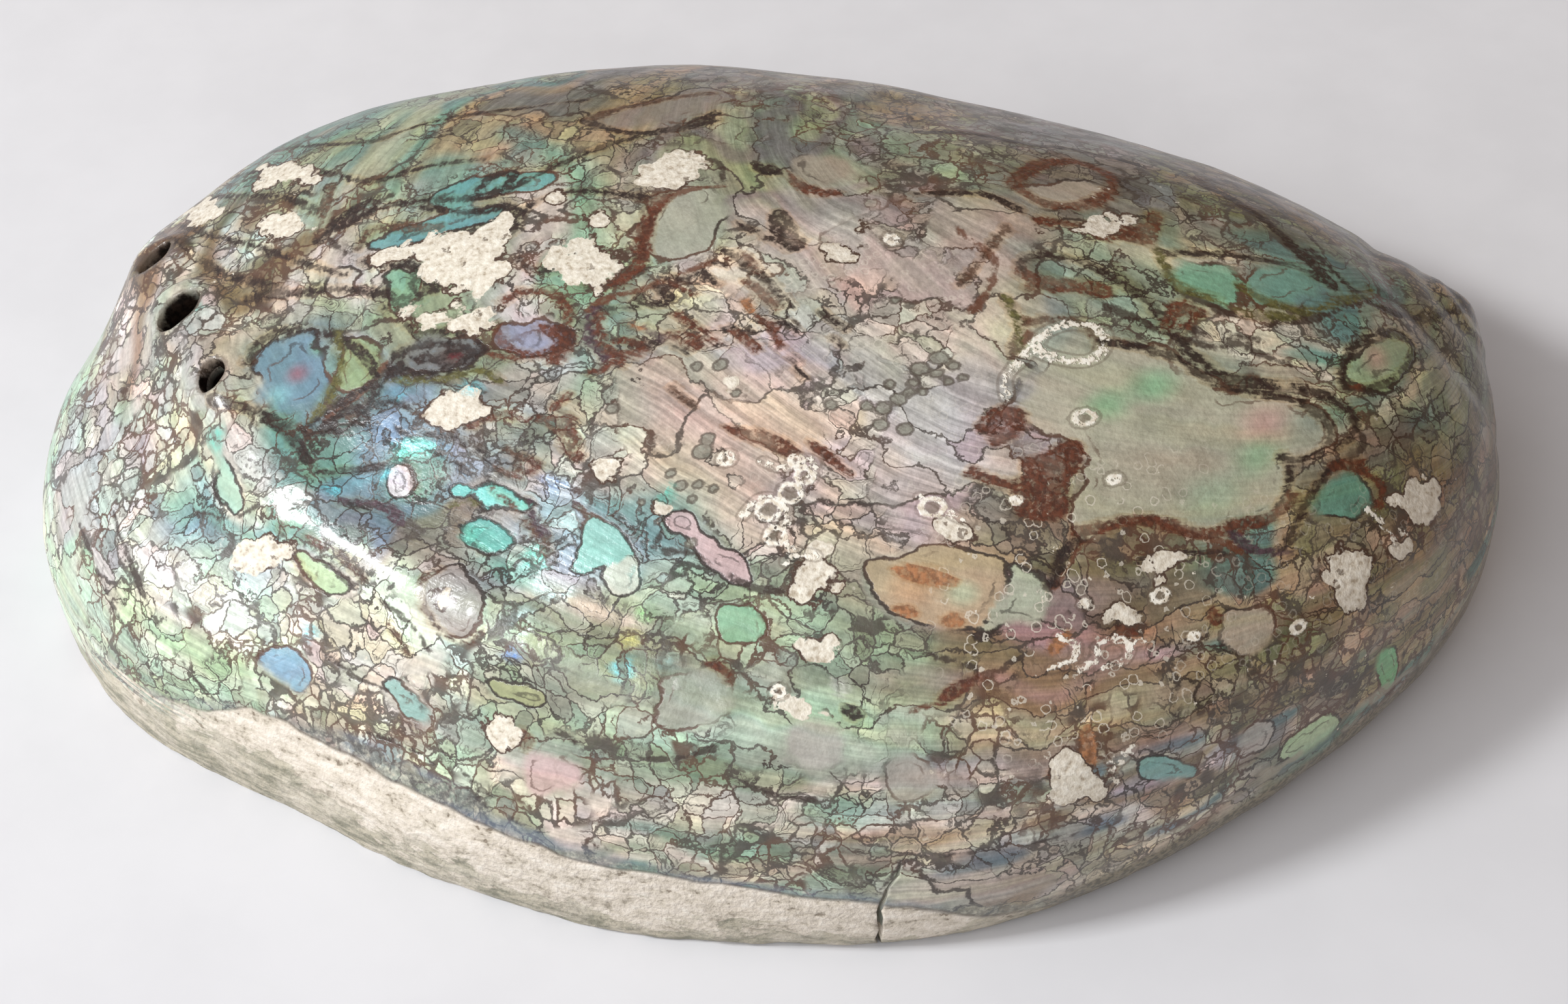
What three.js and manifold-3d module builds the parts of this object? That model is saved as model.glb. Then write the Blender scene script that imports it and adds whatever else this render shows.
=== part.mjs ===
// Abalone shell: one hollow, one-piece ear shell lying dome up on its open side.
// Millimetres, +Z up. +X points to the posterior (spire) end, -Y to the thick
// columellar side that carries the row of breathing holes.
import * as THREE from 'three';
import { mergeVertices } from 'three/addons/utils/BufferGeometryUtils.js';
import Module from 'manifold-3d';

// ---------------------------------------------------------------- dimensions
const DOME_TOP = 37.5;          // height of the summit above the resting plane
const WALL_TOP = 3.2;           // wall at the summit
const WALL_SIDE = 3.1;          // wall on the flanks
const SUMMIT = [7.26, -1.6];   // plan position of the summit
const CENTRE = [-2.63, 2.37];   // moves the outline so its box is centred
// plan outline radius, Fourier series in the plan angle (a0, cos1, sin1, ...)
const OUTLINE = [61.50, 2.28, -2.34, 10.46, -2.56, -0.12, 0.36, 2.35, -0.60,
  0.47, 0.37, 0.28, 0.19, -0.04, -0.31];
const FRONT_LEFT = 1.4;         // extra reach of the lip at the anterior corner
// fullness of the flanks, Fourier series pushed through a soft limiter
const FULLNESS = [-0.57, 0.07, -0.39, -0.08, -1.59, 1.10, 0.14];
const FULL_MIN = 1.9, FULL_SPAN = 0.75;

// ridge that carries the holes: plan angle (deg), profile parameter
const RIDGE = [[149, 1.48], [154, 1.34], [160, 1.191], [165.5, 1.055], [171.5, 0.938],
  [177, 0.87], [183.5, 0.82], [195.5, 0.803], [206, 0.825], [218, 0.86],
  [230.5, 0.886], [238, 0.905], [246, 0.929], [254, 0.952], [262.5, 0.977],
  [274, 1.055], [285.5, 1.13], [300, 1.19], [315.5, 1.22], [330, 1.215],
  [342, 1.205], [350, 1.22], [358, 1.25]];
const RIDGE_RISE = 0.9, RIDGE_HALF = 3.6;      // crest height and half width
const FLANK_DIP = 0.65, FLANK_AT = 9.5, FLANK_HALF = 4.6;  // hollow face below
const BACK_DIP = 0.25, BACK_AT = 8.5, BACK_HALF = 5;       // slight dip above

// open holes: plan angle, profile parameter, half length, half width, twist
const HOLES = [[185.3, 0.808, 1.25, 1.65, 0.9], [174.3, 0.885, 1.85, 2.4, 0.8],
  [165, 1.031, 1.25, 2.15, 1.2]];
// old holes closed from inside, left as low rings: angle, parameter, ring radius
const SCARS = [[195, 0.803, 1.5], [206, 0.825, 2.0], [230.5, 0.886, 3.0],
  [262.5, 0.977, 3.6], [285.5, 1.13, 3.0]];

// low spire at the back of the posterior end
const SHOULDER = [150, 1.12, 1.5];  // swelling where the ridge meets the lip
const SPIRE = [4.5, 1.28], SPIRE_RISE = 3.1, SPIRE_REACH = 6.8;
const SUTURE_DEPTH = 0.55, SUTURE_R0 = 9.5, SUTURE_GROWTH = 0.12, SUTURE_HALF = 1.3;

const N_PHI = 120;              // divisions round the outline

// ---------------------------------------------------------------- helpers
const D2R = Math.PI / 180;
const fourier = (c, a) => {
  let v = c[0];
  for (let k = 1; 2 * k < c.length; k++) v += c[2 * k - 1] * Math.cos(k * a) + c[2 * k] * Math.sin(k * a);
  return v;
};
const bump = (a, at, half) => {          // round bump in the plan angle
  let d = (a - at * D2R) % (2 * Math.PI);
  if (d > Math.PI) d -= 2 * Math.PI;
  if (d < -Math.PI) d += 2 * Math.PI;
  return Math.exp(-((d / (half * D2R)) ** 2));
};
const sub = (a, b) => [a[0] - b[0], a[1] - b[1], a[2] - b[2]];
const add = (a, b, k = 1) => [a[0] + b[0] * k, a[1] + b[1] * k, a[2] + b[2] * k];
const dot = (a, b) => a[0] * b[0] + a[1] * b[1] + a[2] * b[2];
const cross = (a, b) => [a[1] * b[2] - a[2] * b[1], a[2] * b[0] - a[0] * b[2], a[0] * b[1] - a[1] * b[0]];
const len = (a) => Math.sqrt(dot(a, a));
const unit = (a) => { const l = len(a) || 1; return [a[0] / l, a[1] / l, a[2] / l]; };
const smooth = (x) => { x = Math.min(1, Math.max(0, x)); return x * x * (3 - 2 * x); };

// ---------------------------------------------------------------- surfaces
// the lip: height of the widest line and how far the foot tucks in below it
const lipHeight = (a) => 2.6 + 5.0 * bump(a, -35, 45) + 1.5 * bump(a, -100, 40) + 1.0 * bump(a, 60, 50);
const lipTuck = (a) => 0.5 + 3.2 * bump(a, -38, 40) + 0.8 * bump(a, 50, 50);
const radius = (a) => fourier(OUTLINE, a) + FRONT_LEFT * bump(a, 204, 13);
const fullness = (a) => FULL_MIN + FULL_SPAN / (1 + Math.exp(-fourier(FULLNESS, a)));
// the thin outer lip and the thick columellar foot, measured on the table plane
const footWidth = (a) => 2.9 + 4.8 * bump(a, 262, 62) + 0.8 * bump(a, 330, 40);
const footRise = (a) => 4.0 + 6.5 * bump(a, 262, 60);

function dome(a, t, shrink, top, foot) {
  const R = radius(a) - shrink, E = fullness(a);
  const r = Math.sin(t), EE = 2 + (E - 2) * smooth(r / 0.75);
  const z = foot + (top - foot) * Math.pow(Math.max(0, 1 - Math.pow(r, EE)), 1 / EE);
  return [r * R * Math.cos(a) + SUMMIT[0] * (1 - r), r * R * Math.sin(a) + SUMMIT[1] * (1 - r), z];
}
const outer0 = (a, t) => dome(a, t, 0, DOME_TOP, lipHeight(a));
function normalAt(a, t) {
  const h = 1e-3, t1 = Math.min(t + h, Math.PI / 2), t0 = Math.max(t1 - 2 * h, 0.02);
  const dt = sub(outer0(a, t1), outer0(a, t0)), da = sub(outer0(a + h, Math.max(t, 0.02)), outer0(a - h, Math.max(t, 0.02)));
  const n = unit(cross(dt, da));
  return t < 0.02 ? [0, 0, 1] : n;
}

const ridge3 = RIDGE.map(([g, t]) => outer0(g * D2R, t));
const ridgeAmp = (g) => 1 - 0.55 * smooth((g - 232) / 50) - 0.2 * smooth((g - 290) / 50);
function ridgeAt(P) {                      // distance to the ridge, side, amplitude
  let best = 1e9, side = 1, amp = 0;
  for (let i = 0; i + 1 < ridge3.length; i++) {
    const A = ridge3[i], B = ridge3[i + 1], AB = sub(B, A), AP = sub(P, A);
    const k = Math.min(1, Math.max(0, dot(AP, AB) / dot(AB, AB)));
    const d = len(sub(P, add(A, AB, k)));
    if (d < best) {
      best = d;
      side = AB[0] * AP[1] - AB[1] * AP[0] > 0 ? -1 : 1;    // +1 towards the rim
      amp = ridgeAmp(RIDGE[i][0] + k * (RIDGE[i + 1][0] - RIDGE[i][0]));
    }
  }
  return [best, side, amp];
}
const spire3 = outer0(SPIRE[0] * D2R, SPIRE[1]);
const spireN = normalAt(SPIRE[0] * D2R, SPIRE[1]);
const spireU = unit(cross([0, 0, 1], spireN)), spireV = cross(spireN, spireU);
const scar3 = SCARS.map(([g, t, r]) => [outer0(g * D2R, t), r]);
const hole3 = HOLES.map(([g, t, a, b]) => [outer0(g * D2R, t), 0.5 * (a + b)]);

function relief(a, t, P) {                 // height of the sculpture over the plain dome
  const [d, side, amp] = ridgeAt(P);
  let h = RIDGE_RISE * amp * Math.exp(-((d / RIDGE_HALF) ** 2));
  if (side > 0) h -= FLANK_DIP * amp * Math.exp(-(((d - FLANK_AT) / FLANK_HALF) ** 2));
  else h -= BACK_DIP * amp * Math.exp(-(((d - BACK_AT) / BACK_HALF) ** 2));
  for (const [C, r] of scar3) h += 0.35 * Math.exp(-(((len(sub(P, C)) - r) / 1.3) ** 2));
  for (const [C, r] of hole3) h += 0.6 * Math.exp(-(((len(sub(P, C)) - r - 1.0) / 1.5) ** 2));
  const s = sub(P, spire3), q = len(s);
  h += SPIRE_RISE * Math.exp(-((q / SPIRE_REACH) ** 2));
  if (q < 26) {                            // the suture winds out of the spire
    const u = dot(s, spireU), v = dot(s, spireV), r = Math.hypot(u, v) + 1e-6;
    const turn = (Math.log(r / SUTURE_R0) / SUTURE_GROWTH - Math.atan2(v, u)) / (2 * Math.PI);
    const off = Math.abs(turn - Math.round(turn)) * 2 * Math.PI * SUTURE_GROWTH * r;
    h -= SUTURE_DEPTH * Math.exp(-((off / SUTURE_HALF) ** 2)) * smooth((22 - q) / 8) * smooth(q / 3);
  }
  h += SHOULDER[2] * bump(a, SHOULDER[0], 24) * Math.exp(-(((t - SHOULDER[1]) / 0.33) ** 2));
  // low folds that follow the growth lines
  h += 0.16 * Math.sin(6.2 * a + 9.0 * t) * smooth((t - 0.2) / 0.4);
  return h * smooth((Math.PI / 2 - t) / 0.12);
}
function outer(a, t) {
  const P = outer0(a, t);
  return add(P, normalAt(a, t), relief(a, t, P));
}
// the lip below the widest line: groove over a rolled cream foot on the front
function skirt(a, w) {
  const R = radius(a), zw = lipHeight(a), tuck = lipTuck(a);
  const wobble = 0.3 * Math.sin(9 * a + 1) * Math.sin(4 * a) * Math.sin(w);
  const r = R - tuck * (1 - Math.cos(w)) + wobble;
  return [r * Math.cos(a), r * Math.sin(a), zw * (1 - Math.sin(w))];
}
const inner = (a, t) => dome(a, t, WALL_SIDE, DOME_TOP - WALL_TOP, footRise(a));
function innerSkirt(a, w) {
  const Ri = radius(a) - WALL_SIDE, Rf = radius(a) - lipTuck(a) - footWidth(a);
  const r = Ri - (Ri - Rf) * (1 - Math.cos(w));
  return [r * Math.cos(a), r * Math.sin(a), footRise(a) * (1 - Math.sin(w))];
}

// ---------------------------------------------------------------- mesh rings
// plan angles, a little denser at the spire and round the open holes
function angles(n) {
  const M = 3600, cum = [0];
  for (let i = 0; i < M; i++) {
    const a = (i + 0.5) / M * 2 * Math.PI;
    cum.push(cum[i] + 1 + 0.9 * bump(a, 6, 18) + 0.5 * bump(a, 170, 18));
  }
  const out = [];
  for (let i = 0, j = 0; i < n; i++) {
    const c = cum[M] * i / n;
    while (cum[j + 1] < c) j++;
    out.push((j + (c - cum[j]) / (cum[j + 1] - cum[j])) / M * 2 * Math.PI);
  }
  return out;
}
const verts = [], tris = [];
const put = (p) => { verts.push(p[0] + CENTRE[0], p[1] + CENTRE[1], p[2]); return verts.length / 3 - 1; };
const ring = (n, fn) => { const A = angles(n); return { A, id: A.map((a) => put(fn(a))) }; };
function zip(p, q) {                       // p above, q below, faces outwards
  const n = p.id.length, m = q.id.length;
  let i = 0, j = 0;
  const at = (r, k) => r.A[k % r.A.length] + (k >= r.A.length ? 2 * Math.PI : 0);
  while (i < n || j < m) {
    if (j >= m || (i < n && at(p, i + 1) <= at(q, j + 1))) {
      tris.push(p.id[i % n], q.id[j % m], p.id[(i + 1) % n]); i++;
    } else {
      tris.push(p.id[i % n], q.id[j % m], q.id[(j + 1) % m]); j++;
    }
  }
}
function fan(c, r, flip) {
  for (let i = 0; i < r.id.length; i++) {
    const a = r.id[i], b = r.id[(i + 1) % r.id.length];
    if (flip) tris.push(c, b, a); else tris.push(c, a, b);
  }
}
const HALF = Math.PI / 2;
const chain = [];
for (const t of [0.09, 0.18]) chain.push(ring(N_PHI / 4, (a) => outer(a, t)));
for (const t of [0.28, 0.38, 0.48]) chain.push(ring(N_PHI / 2, (a) => outer(a, t)));
for (const t of [0.565, 0.645, 0.72, 0.79, 0.855, 0.92, 0.985, 1.05, 1.115, 1.18, 1.245, 1.31, 1.375, 1.44, 1.505])
  chain.push(ring(N_PHI, (a) => outer(a, t)));
for (const w of [0, 0.45, 0.9, HALF]) chain.push(ring(N_PHI, (a) => skirt(a, w)));
for (const w of [HALF, 0.85, 0.4]) chain.push(ring(N_PHI, (a) => innerSkirt(a, w)));
for (const t of [HALF, 1.44, 1.3, 1.15, 0.98]) chain.push(ring(N_PHI, (a) => inner(a, t)));
for (const t of [0.8, 0.62, 0.44]) chain.push(ring(N_PHI / 2, (a) => inner(a, t)));
for (const t of [0.28, 0.12]) chain.push(ring(N_PHI / 4, (a) => inner(a, t)));
fan(put(outer(0, 0)), chain[0], false);
for (let i = 0; i + 1 < chain.length; i++) zip(chain[i], chain[i + 1]);
fan(put(inner(0, 0)), chain[chain.length - 1], true);

// ---------------------------------------------------------------- cuts
const wasm = await Module();
wasm.setup();
const solid = (v, t) => new wasm.Manifold(new wasm.Mesh({
  numProp: 3, vertProperties: new Float32Array(v), triVerts: new Uint32Array(t) }));
let body = solid(verts, tris);

// a cutter made of stacked loops along an axis, closed at both ends
function cutter(loops) {
  const v = [], t = [], n = loops[0].length;
  for (const L of loops) for (const p of L) v.push(p[0] + CENTRE[0], p[1] + CENTRE[1], p[2]);
  for (let k = 0; k + 1 < loops.length; k++) for (let i = 0; i < n; i++) {
    const a = k * n + i, b = k * n + (i + 1) % n, c = a + n, d = b + n;
    t.push(a, b, d, a, d, c);
  }
  const last = (loops.length - 1) * n;
  for (let i = 1; i + 1 < n; i++) { t.push(0, i + 1, i); t.push(last, last + i, last + i + 1); }
  return solid(v, t);
}
for (const [g, t, A, B, tw] of HOLES) {
  const a = g * D2R, n = normalAt(a, t), P = outer(a, t);
  const u = unit(cross([0, 0, 1], n)), v = cross(n, u);
  const loop = (h, k) => Array.from({ length: 18 }, (_, i) => {
    const q = i / 18 * 2 * Math.PI, x = A * k * Math.cos(q), y = B * k * Math.sin(q);
    const cx = x * Math.cos(tw) - y * Math.sin(tw), cy = x * Math.sin(tw) + y * Math.cos(tw);
    return add(add(add(P, n, h), u, cx), v, cy);
  });
  body = body.subtract(cutter([loop(-9, 0.95), loop(-0.7, 1), loop(0.25, 1.12), loop(2.2, 1.9)]));
}
// crack that runs up the front foot, a narrow wedge in the outer half of the wall
{
  const a0 = 281.9 * D2R, lean = 0.055;
  const at = (z, side, depth) => {
    const a = a0 + lean * smooth((z - 7) / 9) + side * 0.0065, R = radius(a) - depth;
    return [R * Math.cos(a), R * Math.sin(a), z];
  };
  const L = (z, k) => [at(z, -k, -3), at(z, k, -3), at(z, k * 0.4, 2.4), at(z, -k * 0.4, 2.4)];
  body = body.subtract(cutter([L(-1, 1), L(4, 0.9), L(8, 1.1), L(11, 0.9), L(14, 0.3)]));
}
const m = body.getMesh();
let geometry = new THREE.BufferGeometry();
geometry.setAttribute('position', new THREE.BufferAttribute(new Float32Array(m.vertProperties), 3));
geometry.setIndex(new THREE.BufferAttribute(new Uint32Array(m.triVerts), 1));
geometry = mergeVertices(geometry, 1e-5);
geometry.computeVertexNormals();

const group = new THREE.Group();
const shell = new THREE.Mesh(geometry, new THREE.MeshStandardMaterial({ color: 0x8fa398, roughness: 0.22, metalness: 0.0 }));
shell.name = 'shell';
group.add(shell);
export default group;
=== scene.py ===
import math
import bpy
import numpy as np
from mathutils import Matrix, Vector
from mathutils.kdtree import KDTree


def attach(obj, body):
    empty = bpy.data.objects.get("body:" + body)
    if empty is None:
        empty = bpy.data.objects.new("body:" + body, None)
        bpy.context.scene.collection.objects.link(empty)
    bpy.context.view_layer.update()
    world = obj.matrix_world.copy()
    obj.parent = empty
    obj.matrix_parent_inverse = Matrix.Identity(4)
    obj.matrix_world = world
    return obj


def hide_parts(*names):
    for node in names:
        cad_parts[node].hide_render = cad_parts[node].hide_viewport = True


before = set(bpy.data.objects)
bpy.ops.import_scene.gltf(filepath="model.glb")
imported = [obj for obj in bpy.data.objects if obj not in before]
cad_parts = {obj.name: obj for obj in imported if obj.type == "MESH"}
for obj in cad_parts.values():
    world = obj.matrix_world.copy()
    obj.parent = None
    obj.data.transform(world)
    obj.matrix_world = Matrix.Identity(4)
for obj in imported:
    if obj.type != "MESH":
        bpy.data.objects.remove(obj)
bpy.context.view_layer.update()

# Abalone shell, worn and polished to its nacre. Lengths in the helper maths are
# millimetres; the mesh is written in metres. a is the plan angle and t the profile
# parameter (0 at the summit, pi/2 at the widest line), as in the CAD part.
D2R, HALF, TAU = math.pi / 180, math.pi / 2, 2 * math.pi

DOME_TOP, WALL_TOP, WALL_SIDE = 37.5, 3.2, 3.1
SUMMIT, CENTRE = (7.26, -1.6), (-2.63, 2.37)
OUTLINE = [61.50, 2.28, -2.34, 10.46, -2.56, -0.12, 0.36, 2.35, -0.60, 0.47, 0.37, 0.28, 0.19, -0.04, -0.31]
FULLNESS = [-0.57, 0.07, -0.39, -0.08, -1.59, 1.10, 0.14]
RIDGE = [(149, 1.48), (154, 1.34), (160, 1.191), (165.5, 1.055), (171.5, 0.938),
         (177, 0.87), (183.5, 0.82), (195.5, 0.803), (206, 0.825), (218, 0.86),
         (230.5, 0.886), (238, 0.905), (246, 0.929), (254, 0.952), (262.5, 0.977),
         (274, 1.055), (285.5, 1.13), (300, 1.19), (315.5, 1.22), (330, 1.215),
         (342, 1.205), (350, 1.22), (358, 1.25)]
HOLES = [(185.3, 0.808, 1.25, 1.65, 0.9), (174.3, 0.885, 1.85, 2.4, 0.8), (165, 1.031, 1.25, 2.15, 1.2)]
SCARS = [(195, 0.803, 1.5), (206, 0.825, 2.0), (230.5, 0.886, 3.0), (262.5, 0.977, 3.6), (285.5, 1.13, 3.0)]
SPIRE = (4.5, 1.28)
STEP = 0.488                     # mesh spacing on the outside, mm


def bump(a, at, half):
    d = (a - at * D2R + math.pi) % TAU - math.pi
    return np.exp(-(d / (half * D2R)) ** 2)


def smooth(x):
    x = np.clip(x, 0, 1)
    return x * x * (3 - 2 * x)


def fourier(c, a):
    v = np.full_like(np.asarray(a, float), c[0])
    for k in range(1, (len(c) + 1) // 2):
        v = v + c[2 * k - 1] * np.cos(k * a) + c[2 * k] * np.sin(k * a)
    return v


def unit(v):
    return v / np.maximum(np.linalg.norm(v, axis=-1, keepdims=True), 1e-12)


def lip_height(a): return 2.6 + 5.0 * bump(a, -35, 45) + 1.5 * bump(a, -100, 40) + 1.0 * bump(a, 60, 50)
def lip_tuck(a): return 0.5 + 3.2 * bump(a, -38, 40) + 0.8 * bump(a, 50, 50)
def radius(a): return fourier(OUTLINE, a) + 1.4 * bump(a, 204, 13)
def fullness(a): return 1.9 + 0.75 / (1 + np.exp(-fourier(FULLNESS, a)))
def foot_width(a): return 2.9 + 4.8 * bump(a, 262, 62) + 0.8 * bump(a, 330, 40)
def foot_rise(a): return 4.0 + 6.5 * bump(a, 262, 60)


def dome(a, t, shrink, top, foot):
    R, r = radius(a) - shrink, np.sin(t)
    E = 2 + (fullness(a) - 2) * smooth(r / 0.75)
    z = foot + (top - foot) * np.maximum(0, 1 - r ** E) ** (1 / E)
    return np.stack([r * R * np.cos(a) + SUMMIT[0] * (1 - r), r * R * np.sin(a) + SUMMIT[1] * (1 - r), z], -1)


def outer0(a, t): return dome(a, t, 0, DOME_TOP, lip_height(a))


def normal_at(a, t):
    t1 = np.minimum(t + 1e-3, HALF)
    t0 = np.maximum(t1 - 2e-3, 0.02)
    tt = np.maximum(t, 0.02)
    n = unit(np.cross(outer0(a, t1) - outer0(a, t0), outer0(a + 1e-3, tt) - outer0(a - 1e-3, tt)))
    n[np.asarray(t) < 0.02] = (0, 0, 1)
    return n


def hash01(i, j, k, seed):
    h = (i * 374761393 + j * 668265263 + k * 2147483647 + seed * 1274126177) & 0xFFFFFFFF
    h = ((h ^ (h >> 13)) * 1274126177) & 0xFFFFFFFF
    h = (h ^ (h >> 16)) & 0xFFFFFFFF
    return h / 4294967295.0


def vnoise(p, scale, seed):      # smooth value noise, about -1 to 1
    q = np.asarray(p, float) * scale + 1000.0
    i = np.floor(q).astype(np.int64)
    f = q - i
    f = f * f * (3 - 2 * f)
    out = 0
    for dx in (0, 1):
        for dy in (0, 1):
            for dz in (0, 1):
                w = (f[:, 0] if dx else 1 - f[:, 0]) * (f[:, 1] if dy else 1 - f[:, 1]) * (f[:, 2] if dz else 1 - f[:, 2])
                out = out + w * hash01(i[:, 0] + dx, i[:, 1] + dy, i[:, 2] + dz, seed)
    return out * 2 - 1


def at_deg(g, t): return outer0(np.array([g * D2R]), np.array([t]))[0]
ridge3 = np.array([at_deg(g, t) for g, t in RIDGE])
spire3 = at_deg(*SPIRE)
spire_n = normal_at(np.array([SPIRE[0] * D2R]), np.array([SPIRE[1]]))[0]
spire_u = unit(np.cross([0, 0, 1.0], spire_n))
spire_v = np.cross(spire_n, spire_u)


def ridge_amp(g): return 1 - 0.55 * smooth((g - 232) / 50) - 0.2 * smooth((g - 290) / 50)


def relief(a, t, P, n):
    best, side, amp = np.full(len(a), 1e9), np.ones(len(a)), np.zeros(len(a))
    for i in range(len(RIDGE) - 1):
        A, AB = ridge3[i], ridge3[i + 1] - ridge3[i]
        AP = P - A
        k = np.clip(AP @ AB / (AB @ AB), 0, 1)
        d = np.linalg.norm(AP - k[:, None] * AB, axis=1)
        m = d < best
        best[m] = d[m]
        side[m] = np.where(AB[0] * AP[m, 1] - AB[1] * AP[m, 0] > 0, -1, 1)
        amp[m] = ridge_amp(RIDGE[i][0] + k[m] * (RIDGE[i + 1][0] - RIDGE[i][0]))
    h = 0.9 * amp * np.exp(-(best / 3.6) ** 2)
    h = h - np.where(side > 0, 0.65 * amp * np.exp(-((best - 9.5) / 4.6) ** 2), 0.25 * amp * np.exp(-((best - 8.5) / 5) ** 2))
    for g, tt, r in SCARS:
        h = h + 0.2 * np.exp(-((np.linalg.norm(P - at_deg(g, tt), axis=1) - r) / 1.3) ** 2)
    for g, tt, A, B, tw in HOLES:
        h = h + 0.6 * np.exp(-((np.linalg.norm(P - at_deg(g, tt), axis=1) - 0.5 * (A + B) - 1) / 1.5) ** 2)
    s = P - spire3
    q = np.linalg.norm(s, axis=1)
    h = h + 3.1 * np.exp(-(q / 6.8) ** 2)
    u, v = s @ spire_u, s @ spire_v
    r = np.hypot(u, v) + 1e-6
    turn = (np.log(r / 9.5) / 0.12 - np.arctan2(v, u)) / TAU
    off = np.abs(turn - np.round(turn)) * TAU * 0.12 * r
    h = h - np.where(q < 26, 0.3 * np.exp(-(off / 1.5) ** 2) * smooth((22 - q) / 8) * smooth(q / 3), 0)
    h = h + 1.5 * bump(a, 150, 24) * np.exp(-((t - 1.12) / 0.33) ** 2)
    h = h + 0.16 * np.sin(6.2 * a + 9.0 * t) * smooth((t - 0.2) / 0.4)
    # worn, slightly lumpy skin, finer than the CAD carries
    h = h + 0.16 * vnoise(P, 0.11, 3) + 0.07 * vnoise(P, 0.29, 5) + 0.022 * vnoise(P, 0.8, 7)
    return h * smooth((HALF - t) / 0.12)


def outer(a, t):
    P, n = outer0(a, t), normal_at(a, t)
    return P + n * relief(a, t, P, n)[:, None]


def skirt(a, w):
    R, zw, tuck = radius(a), lip_height(a), lip_tuck(a)
    wob = 0.3 * np.sin(9 * a + 1) * np.sin(4 * a) * np.sin(w)
    wob = wob + 0.16 * np.sin(w) * (vnoise(np.stack([40 * np.cos(a), 40 * np.sin(a), 3 * w], -1), 0.5, 9)
                                    + 0.6 * vnoise(np.stack([70 * np.cos(a), 70 * np.sin(a), 6 * w], -1), 0.8, 11))
    r = R - tuck * (1 - np.cos(w)) + wob
    return np.stack([r * np.cos(a), r * np.sin(a), zw * (1 - np.sin(w))], -1)


def inner(a, t): return dome(a, t, WALL_SIDE, DOME_TOP - WALL_TOP, foot_rise(a))


def inner_skirt(a, w):
    Ri, Rf = radius(a) - WALL_SIDE, radius(a) - lip_tuck(a) - foot_width(a)
    r = Ri - (Ri - Rf) * (1 - np.cos(w))
    return np.stack([r * np.cos(a), r * np.sin(a), foot_rise(a) * (1 - np.sin(w))], -1)


# ------------------------------------------------------------------ the mesh
pts, info, faces, rings = [], [], [], []      # info: kind, a, t or w
count = 0


def ring(n, fn, kind, p):
    global count
    a = (np.arange(n) + 0.5) / n * TAU
    pts.append(fn(a, np.full(n, float(p))))
    info.append(np.stack([np.full(n, float(kind)), a, np.full(n, float(p))], -1))
    rings.append((count, n))
    count += n


def per(fn, p, step, low=12):
    a = np.arange(360) * D2R
    q = fn(a, np.full(360, float(p)))
    length = np.linalg.norm(q - np.roll(q, 1, 0), axis=1).sum()
    return max(low, int(round(length / step / 4)) * 4)


def profile(fn, p0, p1, step):   # parameters evenly spaced along the surface
    ps = np.linspace(p0, p1, 400)
    q = np.mean([np.linalg.norm(np.diff(fn(np.full(400, g), ps), axis=0), axis=1) for g in np.arange(0, TAU, 0.5)], 0)
    c = np.concatenate([[0], np.cumsum(q)])
    return np.interp(np.linspace(0, c[-1], max(2, int(round(c[-1] / step)) + 1)), c, ps)


def zip_rings():
    for (i0, n), (j0, m) in zip(rings[:-1], rings[1:]):
        i = j = 0
        while i < n or j < m:
            if j >= m or (i < n and (i + 1.5) / n <= (j + 1.5) / m):
                faces.append((i0 + i % n, j0 + j % m, i0 + (i + 1) % n)); i += 1
            else:
                faces.append((i0 + i % n, j0 + j % m, j0 + (j + 1) % m)); j += 1


for p in profile(outer, 0.012, HALF, STEP)[:-1]:
    ring(per(outer, p, STEP), outer, 0, p)
for p in np.linspace(0, HALF, 10):
    ring(per(skirt, p, STEP * 1.1), skirt, 1, p)
for p in np.linspace(HALF, 0, 7)[:-1]:
    ring(per(inner_skirt, p, 1.0), inner_skirt, 2, p)
for p in profile(inner, 0.02, HALF, 1.25)[::-1]:
    ring(per(inner, p, 1.25), inner, 3, p)
zip_rings()
top = count
pts.append(outer(np.zeros(1), np.zeros(1))); info.append(np.array([[0, 0, 0.0]]))
pts.append(inner(np.zeros(1), np.zeros(1))); info.append(np.array([[3, 0, 0.0]]))
i0, n = rings[0]
faces += [(top, i0 + i, i0 + (i + 1) % n) for i in range(n)]
i0, n = rings[-1]
faces += [(top + 1, i0 + (i + 1) % n, i0 + i) for i in range(n)]
V = np.concatenate(pts) + np.array([CENTRE[0], CENTRE[1], 0])
INFO = np.concatenate(info)


def mesh_object(name, verts_mm, polys):
    me = bpy.data.meshes.new(name)
    me.from_pydata((np.asarray(verts_mm) * 0.001).tolist(), [], polys)
    me.update()
    ob = bpy.data.objects.new(name, me)
    bpy.context.scene.collection.objects.link(ob)
    return ob


shell = mesh_object("shell_nacre", V, faces)

# holes and the crack are cut out with stacked loops
cut_v, cut_f, hole_frames = [], [], []


def cutter(loops):
    base, n = len(cut_v), len(loops[0])
    for L in loops:
        cut_v.extend([(p[0] + CENTRE[0], p[1] + CENTRE[1], p[2]) for p in L])
    for k in range(len(loops) - 1):
        for i in range(n):
            a, b = base + k * n + i, base + k * n + (i + 1) % n
            cut_f.append((a, b, b + n, a + n))
    last = base + (len(loops) - 1) * n
    cut_f.append(tuple(base + i for i in reversed(range(n))))
    cut_f.append(tuple(last + i for i in range(n)))


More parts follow.
